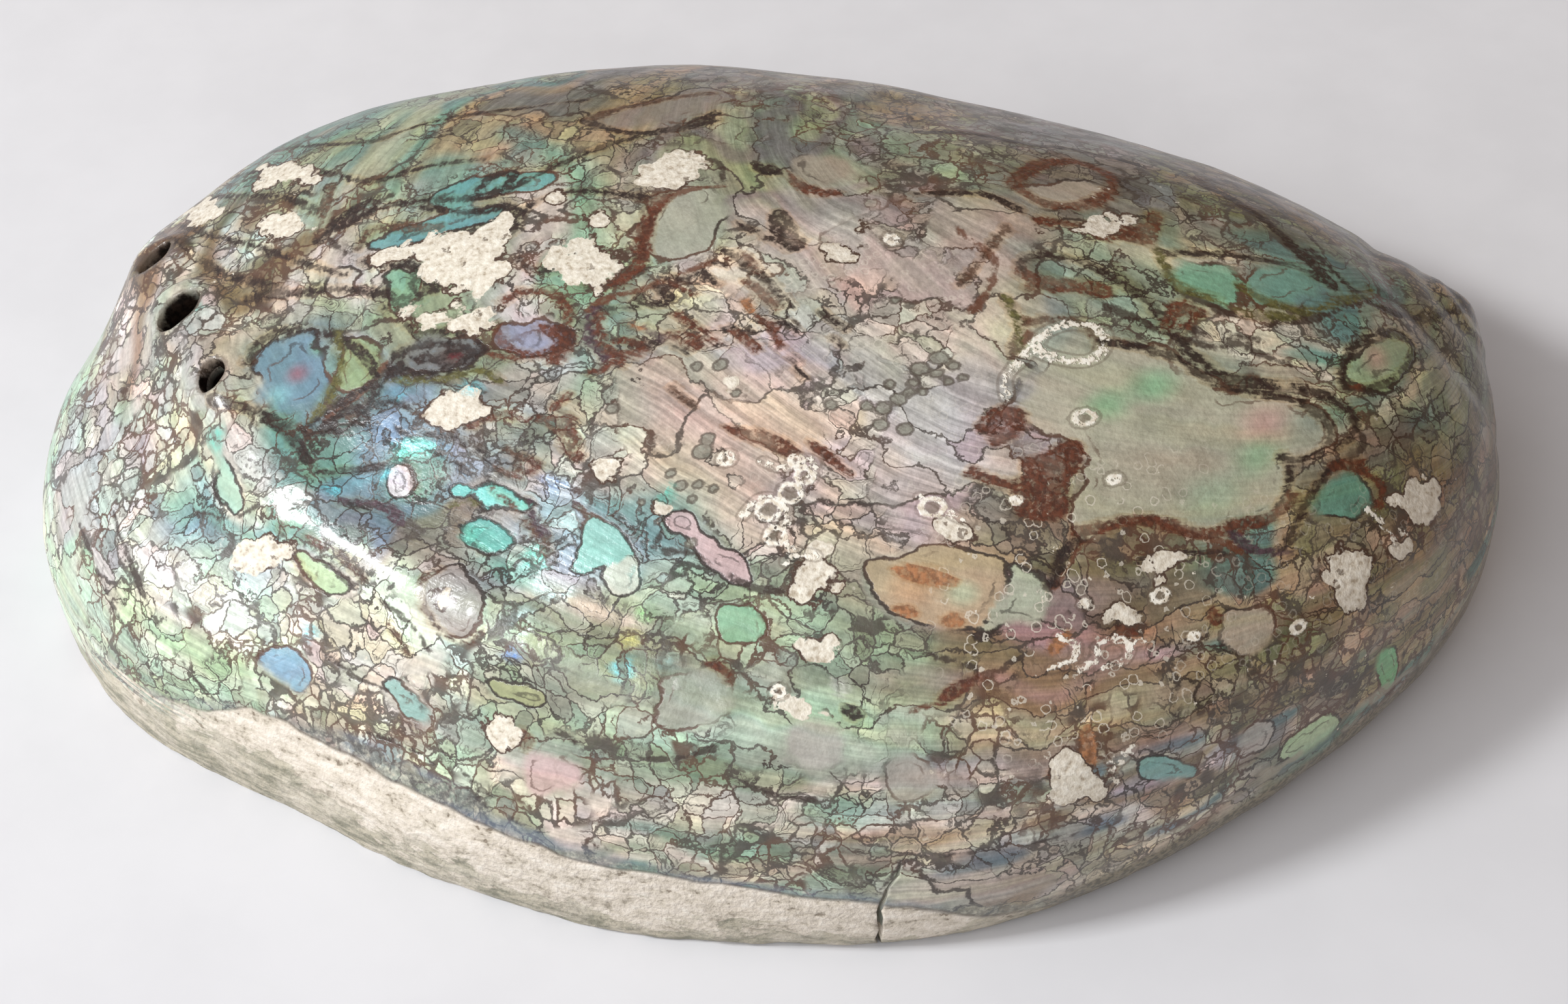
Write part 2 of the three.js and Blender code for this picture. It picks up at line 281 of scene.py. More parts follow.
for g, t, A, B, tw in HOLES:
    a1, t1 = np.array([g * D2R]), np.array([t])
    n = normal_at(a1, t1)[0]
    P = outer(a1, t1)[0]
    u = unit(np.cross([0, 0, 1.0], n)); v = np.cross(n, u)
    hole_frames.append((P + np.array([CENTRE[0], CENTRE[1], 0]), n, u, v, A, B, tw))
    def loop(h, k):
        q = np.arange(40) / 40 * TAU
        wob = 1 + 0.05 * np.sin(2 * q + g) + 0.035 * np.sin(3 * q + 2 * g) + 0.02 * np.sin(7 * q)
        x, y = A * k * wob * np.cos(q), B * k * wob * np.sin(q)
        cx, cy = x * math.cos(tw) - y * math.sin(tw), x * math.sin(tw) + y * math.cos(tw)
        return P + h * n + cx[:, None] * u + cy[:, None] * v
    cutter([loop(-9, 0.93), loop(-1.6, 0.95), loop(-0.7, 1.0), loop(-0.2, 1.05), loop(0.25, 1.14), loop(2.2, 1.9)])


def crack_at(z, side, depth):
    a = 281.9 * D2R + 0.055 * smooth((z - 7) / 9) + side * 0.0065 + 0.0022 * math.sin(z * 2.3) + 0.001 * math.sin(z * 5.1)
    R = float(radius(a)) - depth
    return (R * math.cos(a), R * math.sin(a), z)


cutter([[crack_at(z, -k, -3), crack_at(z, k, -3), crack_at(z, k * 0.4, 2.4), crack_at(z, -k * 0.4, 2.4)]
        for z, k in [(-1, 1), (0.5, 0.9), (2, 1.15), (4, 0.85), (5.5, 1.2), (7, 0.9), (8.5, 1.15), (10, 0.75), (11.5, 0.9), (13, 0.45), (14, 0.2)]])
knife = mesh_object("knife", cut_v, cut_f)
mod = shell.modifiers.new("cut", "BOOLEAN")
mod.operation, mod.solver, mod.object = "DIFFERENCE", "EXACT", knife
done = bpy.data.meshes.new_from_object(shell.evaluated_get(bpy.context.evaluated_depsgraph_get()))
shell.modifiers.clear()
old = shell.data
shell.data = done
bpy.data.meshes.remove(old)
bpy.data.objects.remove(knife)
me = shell.data
me.name = "shell_nacre"

# every vertex of the cut mesh finds its place on the surface again
N = len(me.vertices)
co = np.empty(N * 3, np.float32); me.vertices.foreach_get("co", co)
PM = co.reshape(-1, 3).astype(float) * 1000
tree = KDTree(len(V))
for i, p in enumerate(V.tolist()):
    tree.insert(p, i)
tree.balance()
near = np.array([tree.find(p)[1:] for p in PM.tolist()])
VI = INFO[near[:, 0].astype(int)]
new = near[:, 1] > 2e-3
kind, A_, T_ = VI[:, 0].copy(), VI[:, 1].copy(), VI[:, 2].copy()
rad = np.where(kind == 0, 48 * T_, np.where(kind == 1, 75.4 + 8 * T_ / HALF, np.where(kind == 2, 62 + 6 * T_ / HALF, 62 * T_ / HALF)))
CH = np.stack([rad * np.cos(A_), rad * np.sin(A_)], -1)
# cut edges sit between mesh points: refine their chart place from two near points
for i in np.nonzero(new)[0]:
    found = tree.find_n(PM[i].tolist(), 4)
    w = np.array([1 / (f[2] + 0.05) ** 2 for f in found])
    f0 = INFO[found[0][1]]
    cs = []
    for f in found:
        k_, a_, t_ = INFO[f[1]]
        r_ = 48 * t_ if k_ == 0 else 75.4 + 8 * t_ / HALF if k_ == 1 else 62 + 6 * t_ / HALF if k_ == 2 else 62 * t_ / HALF
        cs.append((r_ * math.cos(a_), r_ * math.sin(a_), k_ >= 2))
    same = np.array([c[2] == (f0[0] >= 2) for c in cs])
    w = w * same
    CH[i] = (np.array([c[:2] for c in cs]) * w[:, None]).sum(0) / w.sum()
outside = kind < 2
wall = np.zeros(N)                # how far down inside a hole or the crack
hole_rim = np.full(N, 9.0)
hole_uv = np.zeros((N, 3))
for h, (C, n, u, v, A, B, tw) in enumerate(hole_frames):
    d = PM - C
    z, cx, cy = d @ n, d @ u, d @ v
    x, y = cx * math.cos(tw) + cy * math.sin(tw), -cx * math.sin(tw) + cy * math.cos(tw)
    q = np.hypot(x / A, y / B)
    near_h = (z > -9) & (z < 2)
    hole_rim = np.where(near_h & outside, np.minimum(hole_rim, (q - 1) * 0.5 * (A + B)), hole_rim)
    inside = near_h & (q < 1.3)
    wall = np.where(inside, np.maximum(wall, smooth((-z - 0.15) / 1.2)), wall)
    hole_uv = np.where((inside & new)[:, None], np.stack([np.full(N, h + 1.0), np.arctan2(y, x), z], -1), hole_uv)

# ------------------------------------------------------------------ markings
# placed on the flattened surface: x, y = 48 t cos a, 48 t sin a (mm)
PATCHES = [
    ("sage", [(20.6, -7.3), (23, -8.4), (25.3, -8.5), (27.4, -9.9), (29.4, -11.2), (30.1, -12.2), (33.4, -11.8), (36.7, -12.3), (39.5, -13.8), (40.3, -15.1), (39.3, -16.7), (37, -17.9), (38.3, -19.4), (38.9, -21.2), (37.9, -22.6), (36.6, -23.6), (35.6, -24.7), (35.3, -26.3), (33.1, -26.2), (30.5, -25.4), (28.3, -24.9), (26.6, -25.4), (25.8, -26.9), (23.6, -27.4), (22.6, -25.3), (22.4, -22.1), (22.4, -19.6), (21.7, -17.8), (19.2, -17.8), (17.7, -16.8), (16.8, -14.4), (17.3, -11), (19.1, -9.8), (20.5, -9.1)]),
    ("greenoval", [(39.7, -9.5), (39.9, -7.7), (42.2, -5.6), (46.6, -3.6), (48.5, -4.2), (47.3, -6.8), (44.7, -9.5), (42, -10.6), (40.3, -10.5)]),
    ("beige", [(16.4, 5.5), (19.7, 7.6), (22.6, 8.6), (24.3, 7.2), (22.6, 5.3), (19.5, 3.9), (16.9, 4.2)]),
    ("amber", [(8, -31.6), (10.5, -30.2), (13.3, -29.2), (15.9, -29.5), (18.4, -30.3), (19.2, -32.6), (18.2, -34.7), (17.5, -37.1), (14.5, -37.2), (11.3, -37), (9, -35.6), (8.1, -33.7)]),
    ("palesage", [(18.8, -30.3), (21.6, -31.1), (23, -33.2), (22.5, -35.2), (20.1, -36.1), (17.9, -37.3), (18.4, -34.8), (19.2, -32.8)]),
    ("disc1", [(-29.1, -30.5), (-27.7, -29.2), (-25.4, -29.6), (-23.7, -31.9), (-23.4, -34.8), (-24.5, -37.2), (-26.8, -37.3), (-28.5, -35.1), (-29.3, -32.9)]),
    ("disc2", [(-9, -46.1), (-8.3, -44.1), (-6.6, -43.2), (-3.9, -43.3), (-2.1, -44.9), (-1.7, -46.9), (-2.9, -48.7), (-4.7, -49.6), (-6.8, -49.7), (-8.5, -48.2)]),
    ("blue", [(-35.2, -3.2), (-33.3, -1.5), (-30.7, -1.5), (-29.5, -3.3), (-29.7, -6.4), (-31.6, -8.5), (-34, -8.2), (-35.3, -6)]),
    ("ringgreen", [(-29, -2.8), (-27, -2.6), (-25.9, -4.7), (-26.1, -7), (-27.6, -8.4), (-29.3, -8.1), (-29.7, -6.3)]),
    ("eye", [(-24.9, -5.6), (-23.3, -4.4), (-21.2, -4.6), (-19.7, -5.6), (-20, -7.4), (-21.6, -8.4), (-23.7, -7.8), (-24.9, -6.8)]),
    ("lilacoval", [(-18.6, -5.1), (-17, -4), (-15.1, -4.3), (-14.6, -5.9), (-15.4, -7.8), (-17, -8.2), (-18.5, -7.3)]),
    ("tealgreen", [(41.2, -22.9), (40.9, -19.2), (43.1, -17.8), (45.9, -18.6), (47.5, -20.6), (45.7, -22.6), (43.3, -23.2)]),
    ("brightgreen", [(60.5, -36.6), (58.5, -34.5), (60.2, -33.3), (63.4, -33.8), (65.6, -35.4), (65.4, -37.4)]),
    ("palegreen", [(55, -48.7), (54.7, -45.8), (57.2, -42.9), (60.4, -41.6), (61.5, -43.4), (59.1, -46.7)]),
    ("teal2", [(35.1, -50), (37.1, -49), (41.1, -49.8), (44.9, -50.9), (43, -52.2), (38.7, -52)]),
    ("topgreen", [(25.5, -0.9), (28.8, -0.3), (30.6, -1.6), (30.9, -3.4), (29.7, -5.1), (27.2, -4.4), (25.4, -3.3)]),
    ("topgreen2", [(31.7, -1.1), (35.2, 0.4), (39.1, 0.4), (39.8, -1.1), (36, -3.3), (33, -4.3), (31.5, -3.3)]),
    ("cellgrey", [(12, -53.9), (12.3, -51.2), (14.3, -50), (16.4, -51.4), (17.2, -54), (15.7, -55.9), (13.5, -55.9)]),
    ("swirl", [(2.9, -50.9), (3.6, -48.7), (5.5, -47.6), (7.9, -48.3), (8.8, -50.6), (8.1, -52.9), (5.8, -54), (3.7, -53.1)]),
    ("pinkstreak", [(-8, -27.6), (-6.4, -27.5), (-3.5, -30.9), (-0.6, -33.7), (-1, -34.8), (-3.9, -33.2), (-6.5, -30.7), (-7.9, -28.8)]),
    ("disc3", [(-13.9, -32.7), (-13.3, -31.8), (-11.5, -31.6), (-10.2, -32.7), (-10.2, -34.5), (-11.4, -35.2), (-13.1, -34.7)]),
    ("greenl", [(-37, -21.3), (-36.1, -23.4), (-34.7, -26.3), (-34, -28.2), (-35.4, -28.8), (-37.1, -27.3), (-37.9, -24.9), (-37.9, -22.5)]),
    ("bluel", [(-45.6, -31.5), (-43.1, -31.3), (-41.7, -33.2), (-42.3, -36.3), (-44.3, -37.3), (-45.6, -35), (-46.4, -33.4)]),
    ("mintl", [(-39.6, -9.4), (-38.4, -11.2), (-38.5, -14.3), (-40, -16.6), (-40.9, -15.1), (-40.6, -12.4)]),
    ("tealband", [(-27.4, 5.6), (-24.9, 6.7), (-21.5, 7.3), (-18.2, 7.4), (-18.3, 5.9), (-21.2, 5.6), (-23.7, 5.2), (-25.7, 4)]),
    ("tealband2", [(-23.8, 9.5), (-21.5, 10.8), (-18.2, 11.1), (-16, 10.2), (-16, 8.3), (-18.4, 8.3), (-20.8, 7.9), (-22.4, 7.5)]),
    ("greyoval", [(-20.7, 8.8), (-19.6, 10.1), (-18.4, 10.9), (-17.9, 9.9), (-18.6, 8.5), (-19.7, 7.6)]),
    ("toptan", [(-15.9, 20), (-14.2, 23.3), (-10.2, 26), (-6.1, 29.4), (-2.9, 28.2), (-2, 25.1), (-5.5, 22.4), (-10.4, 20.4), (-13.4, 18.2)]),
    ("pebgreen", [(-35.4, 14.5), (-32.5, 13.1), (-31.1, 10), (-31.3, 8.3), (-33, 9.8), (-34.4, 12.1)]),
    ("palepeb", [(-29.8, 3.9), (-28.1, 4.2), (-27, 2.6), (-27.6, 1), (-29, 1.1), (-29.8, 2.4)]),
    ("greenpeb", [(-25.1, 3), (-23.3, 2.4), (-22.8, 0.2), (-23.5, -1.4), (-24.8, -1.5), (-25.5, 0.9)]),
    ("sagegrey", [(-9.4, 6.7), (-7.7, 8.3), (-5.6, 8.1), (-4.7, 4.1), (-4.8, 0.7), (-6.7, -0.5), (-8.6, -0.6), (-9.6, 1.6), (-9.6, 4.3)]),
    ("tan2", [(1.6, 13.3), (4.6, 14.6), (7.5, 13.1), (7.4, 10.1), (5.3, 8.2), (2.9, 8.4), (1.4, 10.5)]),
    ("tanr", [(37.3, -33.7), (38.6, -32.5), (41.2, -32.5), (43, -34.7), (42.7, -36.9), (40.4, -37.1), (38.4, -35.6)]),
    ("greycell2", [(45.6, -45.5), (47.3, -44.2), (50.5, -45.1), (52.2, -47.4), (50.4, -48.4), (47.2, -47.4)]),
    ("lilacw", [(-28.6, -15.5), (-27.3, -15.7), (-27.1, -17.7), (-27.9, -19.3), (-29.1, -18.9), (-29.3, -17.1)]),
    ("teald", [(-25.5, -24.1), (-23.4, -24.1), (-20.9, -26), (-20.7, -27.8), (-22.9, -28.4), (-25.2, -27.1)]),
    ("cyanstrip", [(-25.3, -19.3), (-22.9, -19.9), (-20.2, -22.3), (-18.7, -24.5), (-20.8, -25), (-23.3, -23.1), (-25.1, -21.2)]),
    ("mintband", [(-16, -32.3), (-15, -27.2), (-16.6, -24.1), (-13.9, -26.7), (-11.1, -29.8), (-11.6, -31.1), (-13.2, -32.2)]),
    ("greenmid", [(-3.7, -36.7), (-0.9, -37), (0.6, -38.8), (-0.7, -40.5), (-2.9, -39.9), (-3.9, -38.3)]),
    ("pinkl", [(-22.6, -51.4), (-19.8, -51.5), (-16.8, -53.8), (-17.8, -56.1), (-21.5, -56.5), (-23.2, -54.2)]),
    ("oliveband", [(-24.7, -41.6), (-22, -42.9), (-19, -44.5), (-19.7, -45.5), (-22.8, -44.5), (-24.6, -43.2)]),
    ("tealleft", [(-36, -38.9), (-33.6, -39.3), (-32.1, -42.1), (-32.1, -44.9), (-34, -44.8), (-35.7, -41.5)]),
]
CREAMS = [
    [(-27.3, 4.7), (-24.6, 5.3), (-21.1, 5.3), (-18.6, 5.6), (-16.9, 5.2), (-16.9, 2.7), (-17.9, -0.4), (-18.9, -2.1), (-20.1, -1.1), (-21, -0.3), (-22.5, 0.2), (-23.3, 2.6), (-25.2, 3.7), (-26.8, 3.7)],
    [(-24.8, -1.8), (-23.3, -1.2), (-20.7, -2), (-19.2, -2.6), (-18.5, -3.6), (-19.1, -4.7), (-21.1, -4.3), (-23.6, -3.6), (-24.7, -2.9)],
    [(-14.8, 0.6), (-13.7, 2), (-12.2, 2.7), (-10.6, 0.9), (-10.6, -1.2), (-12.4, -2.3), (-14.1, -1.3)],
    [(-24.9, -10.8), (-23.4, -9.7), (-21.1, -10.3), (-20.3, -12.4), (-21.4, -13.8), (-23.7, -13.9), (-25, -12.6)],
    [(-11.6, 11.1), (-10.2, 13.6), (-7.3, 15.5), (-5.7, 13.2), (-6.8, 10.1), (-8.8, 7.9), (-10.6, 9)],
    [(-16.1, 6.7), (-15.1, 8.2), (-14.1, 7.2), (-14.9, 5.1)],
    [(-12.9, 6.1), (-11.8, 6.1), (-11.6, 4.2), (-12.4, 4)],
    [(28.2, -27.1), (30.6, -27.5), (31.7, -30.1), (30.4, -31.6), (28.6, -29.7)],
    [(47.6, -19.7), (49.4, -17.7), (53.1, -16.4), (55.7, -19.8), (54.6, -22.2), (50.7, -21.7)],
    [(43.9, -25.7), (48.1, -25.5), (50.5, -28.4), (52.9, -31.1), (49.4, -30.8), (45.9, -28.7)],
    [(50.3, -24.1), (52.8, -22.8), (54.3, -23.9), (52.7, -25.3), (50.7, -25)],
    [(26.4, -50.6), (28.3, -49), (32.1, -51.9), (33.4, -50.9), (33.9, -54.3), (30.9, -56.1), (28.3, -54.5)],
    [(3, -32.9), (4.8, -32.3), (5.8, -33.5), (5.5, -35), (3.9, -36.6), (2.5, -37.1), (2.7, -34.8)],
    [(3, -30.6), (4.5, -30), (4.5, -31.3), (3.3, -31.6)],
    [(12.3, -26.7), (13.4, -26.2), (15.5, -27.6), (15.6, -28.5), (13.7, -28.1), (12.3, -27.3)],
    [(16.9, 1.8), (19.4, 2.7), (23.2, 3.4), (25.3, 3.1), (24.7, 2.1), (21.4, 1.6), (18.4, 1.2)],
    [(2.7, -40.3), (5.4, -39.8), (7.1, -40.5), (6.6, -41.6), (3.9, -41.9)],
    [(-26.3, -46.5), (-23.4, -45.9), (-22, -48), (-23.1, -50.2), (-25.9, -49.9), (-26.8, -48)],
    [(-42.6, -19.7), (-40.1, -18.8), (-37.5, -19.7), (-37.9, -22.5), (-40.1, -23.1), (-42.5, -22.2)],
    [(2, -46.7), (4.2, -45.9), (6.5, -46.2), (6.6, -47.3), (3.8, -48.1)],
    [(-51.1, 23.3), (-47.3, 21.6), (-42.6, 16), (-44.9, 16.3), (-51.3, 22.3)],
    [(-37.5, 12.4), (-35.5, 12.4), (-33.1, 10.2), (-33.5, 8.9), (-35.7, 9.8)],
    [(-43.3, 23.8), (-39.4, 21.5), (-34.7, 17.5), (-33.9, 15), (-37.9, 16.9), (-41, 19.9)],
    [(1.4, 0.7), (2.7, 0.8), (3.3, -0.4), (2.4, -1.2), (1.4, -0.7)],
    [(4, 1.8), (5.5, 2.9), (5.1, 1.5), (3.6, 0.3)],
    [(-14.8, -20.7), (-12.5, -21.9), (-11.9, -23.7), (-14.3, -22.9)],
    [(-4.8, -14), (-3.3, -13.4), (-2.7, -14.8), (-4.2, -15.4)],
    [(30.3, -28.3), (32.6, -27.2), (33.4, -27.9), (31.6, -29.2)],
    [(27.3, -34.1), (29.5, -33.2), (31.1, -34.7), (28.9, -35.3)],
    [(-9.4, -26.9), (-7.5, -26.7), (-7.2, -27.7), (-8.8, -28.2)],
]
RINGS = [  # centre, radius, half width
    (0, -27.3, 0.93, 0.25), (0.8, -29.8, 0.81, 0.26), (1.6, -25.5, 0.87, 0.23), (2.6, -23.7, 0.70, 0.20), (1.8, -22.3, 0.54, 0.16), (12.4, -25.4, 0.87, 0.26), (31.6, -32.2, 0.65, 0.18), (45.2, -33.7, 0.65, 0.18), (-3.9, -22.2, 0.56, 0.16), (21.6, -15.8, 0.66, 0.13), (6.2, 0.6, 0.35, 0.10), (25, -21.5, 0.40, 0.09), (2.2, -45.3, 0.56, 0.19), (18.4, -24.3, 0.35, 0.09), (35.9, -35.9, 0.41, 0.10), (25.5, -33.6, 0.35, 0.09)]
LOOPS = [
    ([(16, -11.1), (16.6, -9.1), (16.9, -7.8), (18.3, -6.8), (20.1, -7), (21, -7.9), (21.1, -9.7), (20.1, -10.5), (17.9, -10.1), (16.8, -9.4)], 0.41),
    ([(16.1, -14.4), (15.5, -12.4), (16.1, -10.8)], 0.30),
    ([(24.3, -40.3), (26.1, -39.5), (25.9, -37.5), (24.1, -37)], 0.38),
    ([(26.7, -40.4), (28.2, -38.6), (27.3, -37.7), (29.3, -36.5), (30.6, -37.1), (31.7, -36.7)], 0.35),
    ([(28.5, -39.9), (30.6, -39.1), (30.7, -37.4), (28.7, -36.6)], 0.37),
    ([(-0.9, -22.5), (0.7, -23.3), (2.2, -21.9), (3.4, -22.1), (2.8, -23.8), (1.6, -24.9)], 0.32),
    ([(-2.1, -28), (-0.9, -26), (1, -26.2), (1.6, -27.8), (1.3, -30.4), (2.7, -31.2)], 0.35),
    ([(1.8, -32.3), (2.7, -31.2), (4.1, -31.4)], 0.40),
    ([(32.5, -49.7), (34.4, -47.7), (34, -49.3), (33.1, -51.3), (34.5, -52.4)], 0.37),
    ([(46.1, -21.2), (48.4, -22.1), (51, -23.6)], 0.32),
    ([(11.3, -24.5), (12.7, -24.7), (13.9, -26.2), (15.4, -26.7)], 0.26),
]
DOTS = [
    (9.8, -12, 0.75), (10.9, -10.8, 0.75), (12, -11.5, 0.55), (11, -12.4, 0.55), (11.9, -13.1, 0.47), (12.8, -12.6, 0.47), (9.5, -13.4, 0.50), (10.3, -14.3, 0.45), (8.7, -15.2, 0.69), (9.4, -14.4, 0.50), (7.7, -16.2, 0.70), (7.7, -17.8, 0.69), (9.5, -18, 0.69), (7.9, -13.8, 0.52), (-7.4, -24.7, 0.62), (-6, -24.7, 0.56), (-4.7, -25.2, 0.52), (-6.4, -26.2, 0.52), (-8.3, -23.3, 0.56), (-5.9, -21.3, 0.92), (-5.6, -20, 0.69), (-6.2, -30.5, 0.58), (-13.2, -15.5, 0.61), (-7, -12.3, 0.57), (-5.2, -12.4, 0.69), (3.9, -16.4, 0.64), (7.1, -5.1, 0.47), (8.1, -5.7, 0.37), (-17.5, -34.4, 0.62), (-3.7, -15.5, 0.50), (-9.3, -26.1, 0.37), (-10.5, -26, 0.43), (6.5, -16.1, 0.58)]
STAINS = [
    ("rust", [(17.8, -20.4), (19.5, -19.7), (21, -17.9), (22.2, -18.3), (22.5, -20.5), (21.9, -22.5), (22.7, -25.3), (20.7, -26.3), (18.6, -25.7), (18, -23.9), (18.6, -22.2)]),
    ("rust", [(16, -16.3), (16.8, -14.9), (18, -16.1), (17.8, -17.8), (16.8, -18.3)]),
    ("rust", [(-4.7, -18.6), (-3.4, -18.8), (0.4, -20), (2.2, -21.3), (1.4, -22.1), (-1.6, -21), (-3.8, -19.8)]),
    ("rust", [(2.2, -19.9), (3.6, -20.4), (5.8, -22.5), (6.3, -23.2), (4.7, -22.5), (3.1, -21.5)]),
    ("rust", [(-17.5, -15.1), (-16.2, -14.8), (-15.7, -16.6), (-15.5, -19.5), (-16.3, -20.1), (-16.6, -17.4), (-17.6, -15.9)]),
    ("dark", [(-1.8, 5.5), (-0.3, 5.6), (0.2, 3.1), (0.6, 0.7), (-0.6, -0.4), (-1.2, 0.5), (-2.1, 2.5)]),
    ("dark", [(-4.1, 3.7), (-3.2, 2.8), (-2.4, 2.3), (-3, 1.6), (-3.9, 2.4)]),
    ("rust", [(0.7, 11.7), (1.6, 10), (3.2, 8.4), (5.4, 7.6), (4.9, 6.7), (1.8, 7.2), (0.7, 9.1)]),
    ("dark", [(-2.4, 12.8), (-0.1, 12.1), (1, 10.9), (-0.4, 10.4), (-2.4, 11.3)]),
    ("rust", [(25.7, 3.8), (25.6, 2.7), (24.8, 0.9), (22.9, 0.6), (21.1, 0.8), (19.2, 1), (21.4, 1.8), (24.2, 2)]),
    ("orange", [(10, -31.8), (11.6, -31.1), (14.1, -31.4), (15.7, -32.4), (14.9, -33.1), (12.8, -33.1), (10.8, -32.7)]),
    ("orange", [(14.5, -35.8), (15.7, -35.3), (16.6, -36.5), (15.5, -37.3), (14.7, -36.9)]),
    ("orange", [(10.4, -35.7), (12.1, -35.1), (12.9, -36.3), (11.6, -36.9)]),
    ("rust", [(-4.7, -42.3), (-2.8, -42.2), (-1.7, -44.2), (-2, -45), (-3.6, -43.4)]),
    ("dark", [(7.5, -46), (8.8, -45.8), (9.8, -46.8), (9, -47.7), (7.9, -47.2)]),
    ("rust", [(-23.4, -47.8), (-22, -47.7), (-20.9, -49.4), (-22.2, -51.1), (-23.2, -50.2)]),
    ("rust", [(15.5, -43.7), (18.3, -41.2), (19, -41.8), (17.2, -44.1), (15.3, -45.7)]),
    ("orange", [(28.3, -46.2), (29.4, -45.7), (31.1, -48.7), (31.5, -51), (29.7, -50.3)]),
    ("rust", [(32, -49.4), (33.4, -49.9), (34.1, -51.6), (33.1, -52.1)]),
    ("rust", [(26.6, -51.6), (28, -50), (28.9, -50.7), (27.9, -52.7)]),
    ("rust", [(28.5, -35.6), (31.1, -34.9), (31.8, -36.3), (29.1, -36.8)]),
    ("rust", [(35.8, -33.2), (36.8, -32.4), (38.1, -34.3), (37.3, -35.1)]),
    ("orange", [(23.3, -38.1), (24.1, -36.7), (25.3, -36.2), (25.3, -37.2), (24.3, -39)]),
    ("dark", [(-33, -17.4), (-32, -18.3), (-29.7, -19.6), (-30, -20.5), (-32.3, -19.3)]),
    ("rust", [(-8.5, -7.6), (-6.7, -8.8), (-5.1, -10.8), (-7.6, -9.7)]),
    ("rust", [(40.3, -19.3), (41, -18), (41.9, -17.2), (44, -16.5), (43.9, -17.2), (41.3, -18.7)]),
    ("orange", [(46.8, -28.5), (48, -27.9), (49.5, -29), (48.5, -29.9)]),
    ("rust", [(24.7, -4.9), (25.9, -4.1), (27.2, -4.9), (28.4, -4.7), (26.7, -5.6), (25.3, -6.3), (24.3, -6.8)]),
    ("rust", [(14.5, -3.4), (15.9, -2.8), (17.7, -3), (19.5, -3.4), (16.9, -3.7), (15, -4.1)]),
    ("rust", [(40.2, -10.1), (42.5, -9.9), (42.6, -10.8), (41, -11)]),
]
# painted highlights: white and coloured glints of the light, painted into the colour as shapes on the flattened surface
PAINTED_GLINTS = [
    ("cyan", [(-26.6, -8.7), (-25.5, -7.9), (-24.5, -8.8), (-25, -9.4), (-26.1, -9.3)]),
    ("cyan", [(-33, -15.9), (-30.6, -16.1), (-28.3, -16.2), (-29, -16.9), (-31, -17.3), (-32.8, -17.5)]),
    ("cyan", [(-41.1, -30.5), (-39.8, -29.9), (-39.5, -31.1), (-40.6, -31.9), (-41.4, -31.4)]),
    ("cyanw", [(-21.9, -35.8), (-20.7, -34.9), (-19.3, -35.7), (-19.5, -37.6), (-21.2, -37.9)]),
    ("cyanw", [(-19.7, -32.2), (-17.7, -32), (-16, -34), (-17.2, -35.1), (-19.2, -34)]),
    ("aqua", [(-25.6, -25.1), (-23.5, -25.2), (-21.2, -26.6), (-21.5, -28.1), (-24, -27.9)]),
    ("aqua", [(-20.4, -28.9), (-18.8, -28), (-17.7, -30), (-18.8, -31.7), (-20.4, -31)]),
    ("aqua", [(-41.3, 3.5), (-40.1, 3.8), (-39.1, 2.7), (-40.2, 2.5)]),
    ("aqua", [(-40.2, -8.3), (-38.9, -8), (-38.5, -9), (-39.5, -10.1), (-40.2, -9.5)]),
    ("aqua", [(-28.1, -13.9), (-25.8, -13.7), (-24.5, -15.4), (-26.3, -15.7), (-28.1, -15.4)]),
    ("teal", [(-11.1, -32.6), (-10, -32.5), (-9.9, -34.1), (-10.9, -34.5)]),
    ("blue", [(-22.8, -39.1), (-20.9, -38.5), (-20.3, -40), (-21.8, -40.8)]),
    ("cyan", [(-8.9, -42), (-7.2, -41.4), (-6.9, -43.1), (-8.5, -43.4)]),
    ("cyan", [(-13, -42.2), (-11.2, -41.6), (-10.7, -43.5), (-12.2, -44)]),
    ("white", [(-7.9, -44.1), (-7.2, -43.8), (-6.9, -45.2), (-7.7, -45.5)]),
    ("white", [(6.9, -43.8), (7.6, -43.4), (8, -44.7), (7.3, -45.2)]),
    ("yellow", [(-12.4, -39.3), (-10.7, -38.8), (-10.1, -40.2), (-11.5, -40.7)]),
    ("green", [(-10.7, -36.5), (-9.3, -35.7), (-8.7, -37.4), (-10.1, -38.2)]),
    ("teal", [(-16.8, -14), (-16.1, -15.7), (-16.5, -16.7), (-17, -15.4)]),
    ("cyan", [(-21.7, -9.6), (-20.8, -9.4), (-20.9, -10.5), (-21.8, -10.6)]),
    ("aqua", [(-9.2, -24.5), (-8.2, -24.3), (-7.8, -26), (-8.9, -26.2)]),
    ("blue", [(-18.6, -21), (-16.6, -22.3), (-15, -24.8), (-16.6, -24.4), (-18.4, -22.5)]),
    ("white", [(-37.5, -14.7), (-35.9, -13.9), (-34.8, -15.1), (-33.3, -18.4), (-33.2, -19.6), (-34.9, -19.8), (-37, -18.3), (-37.8, -16.8)]),
]
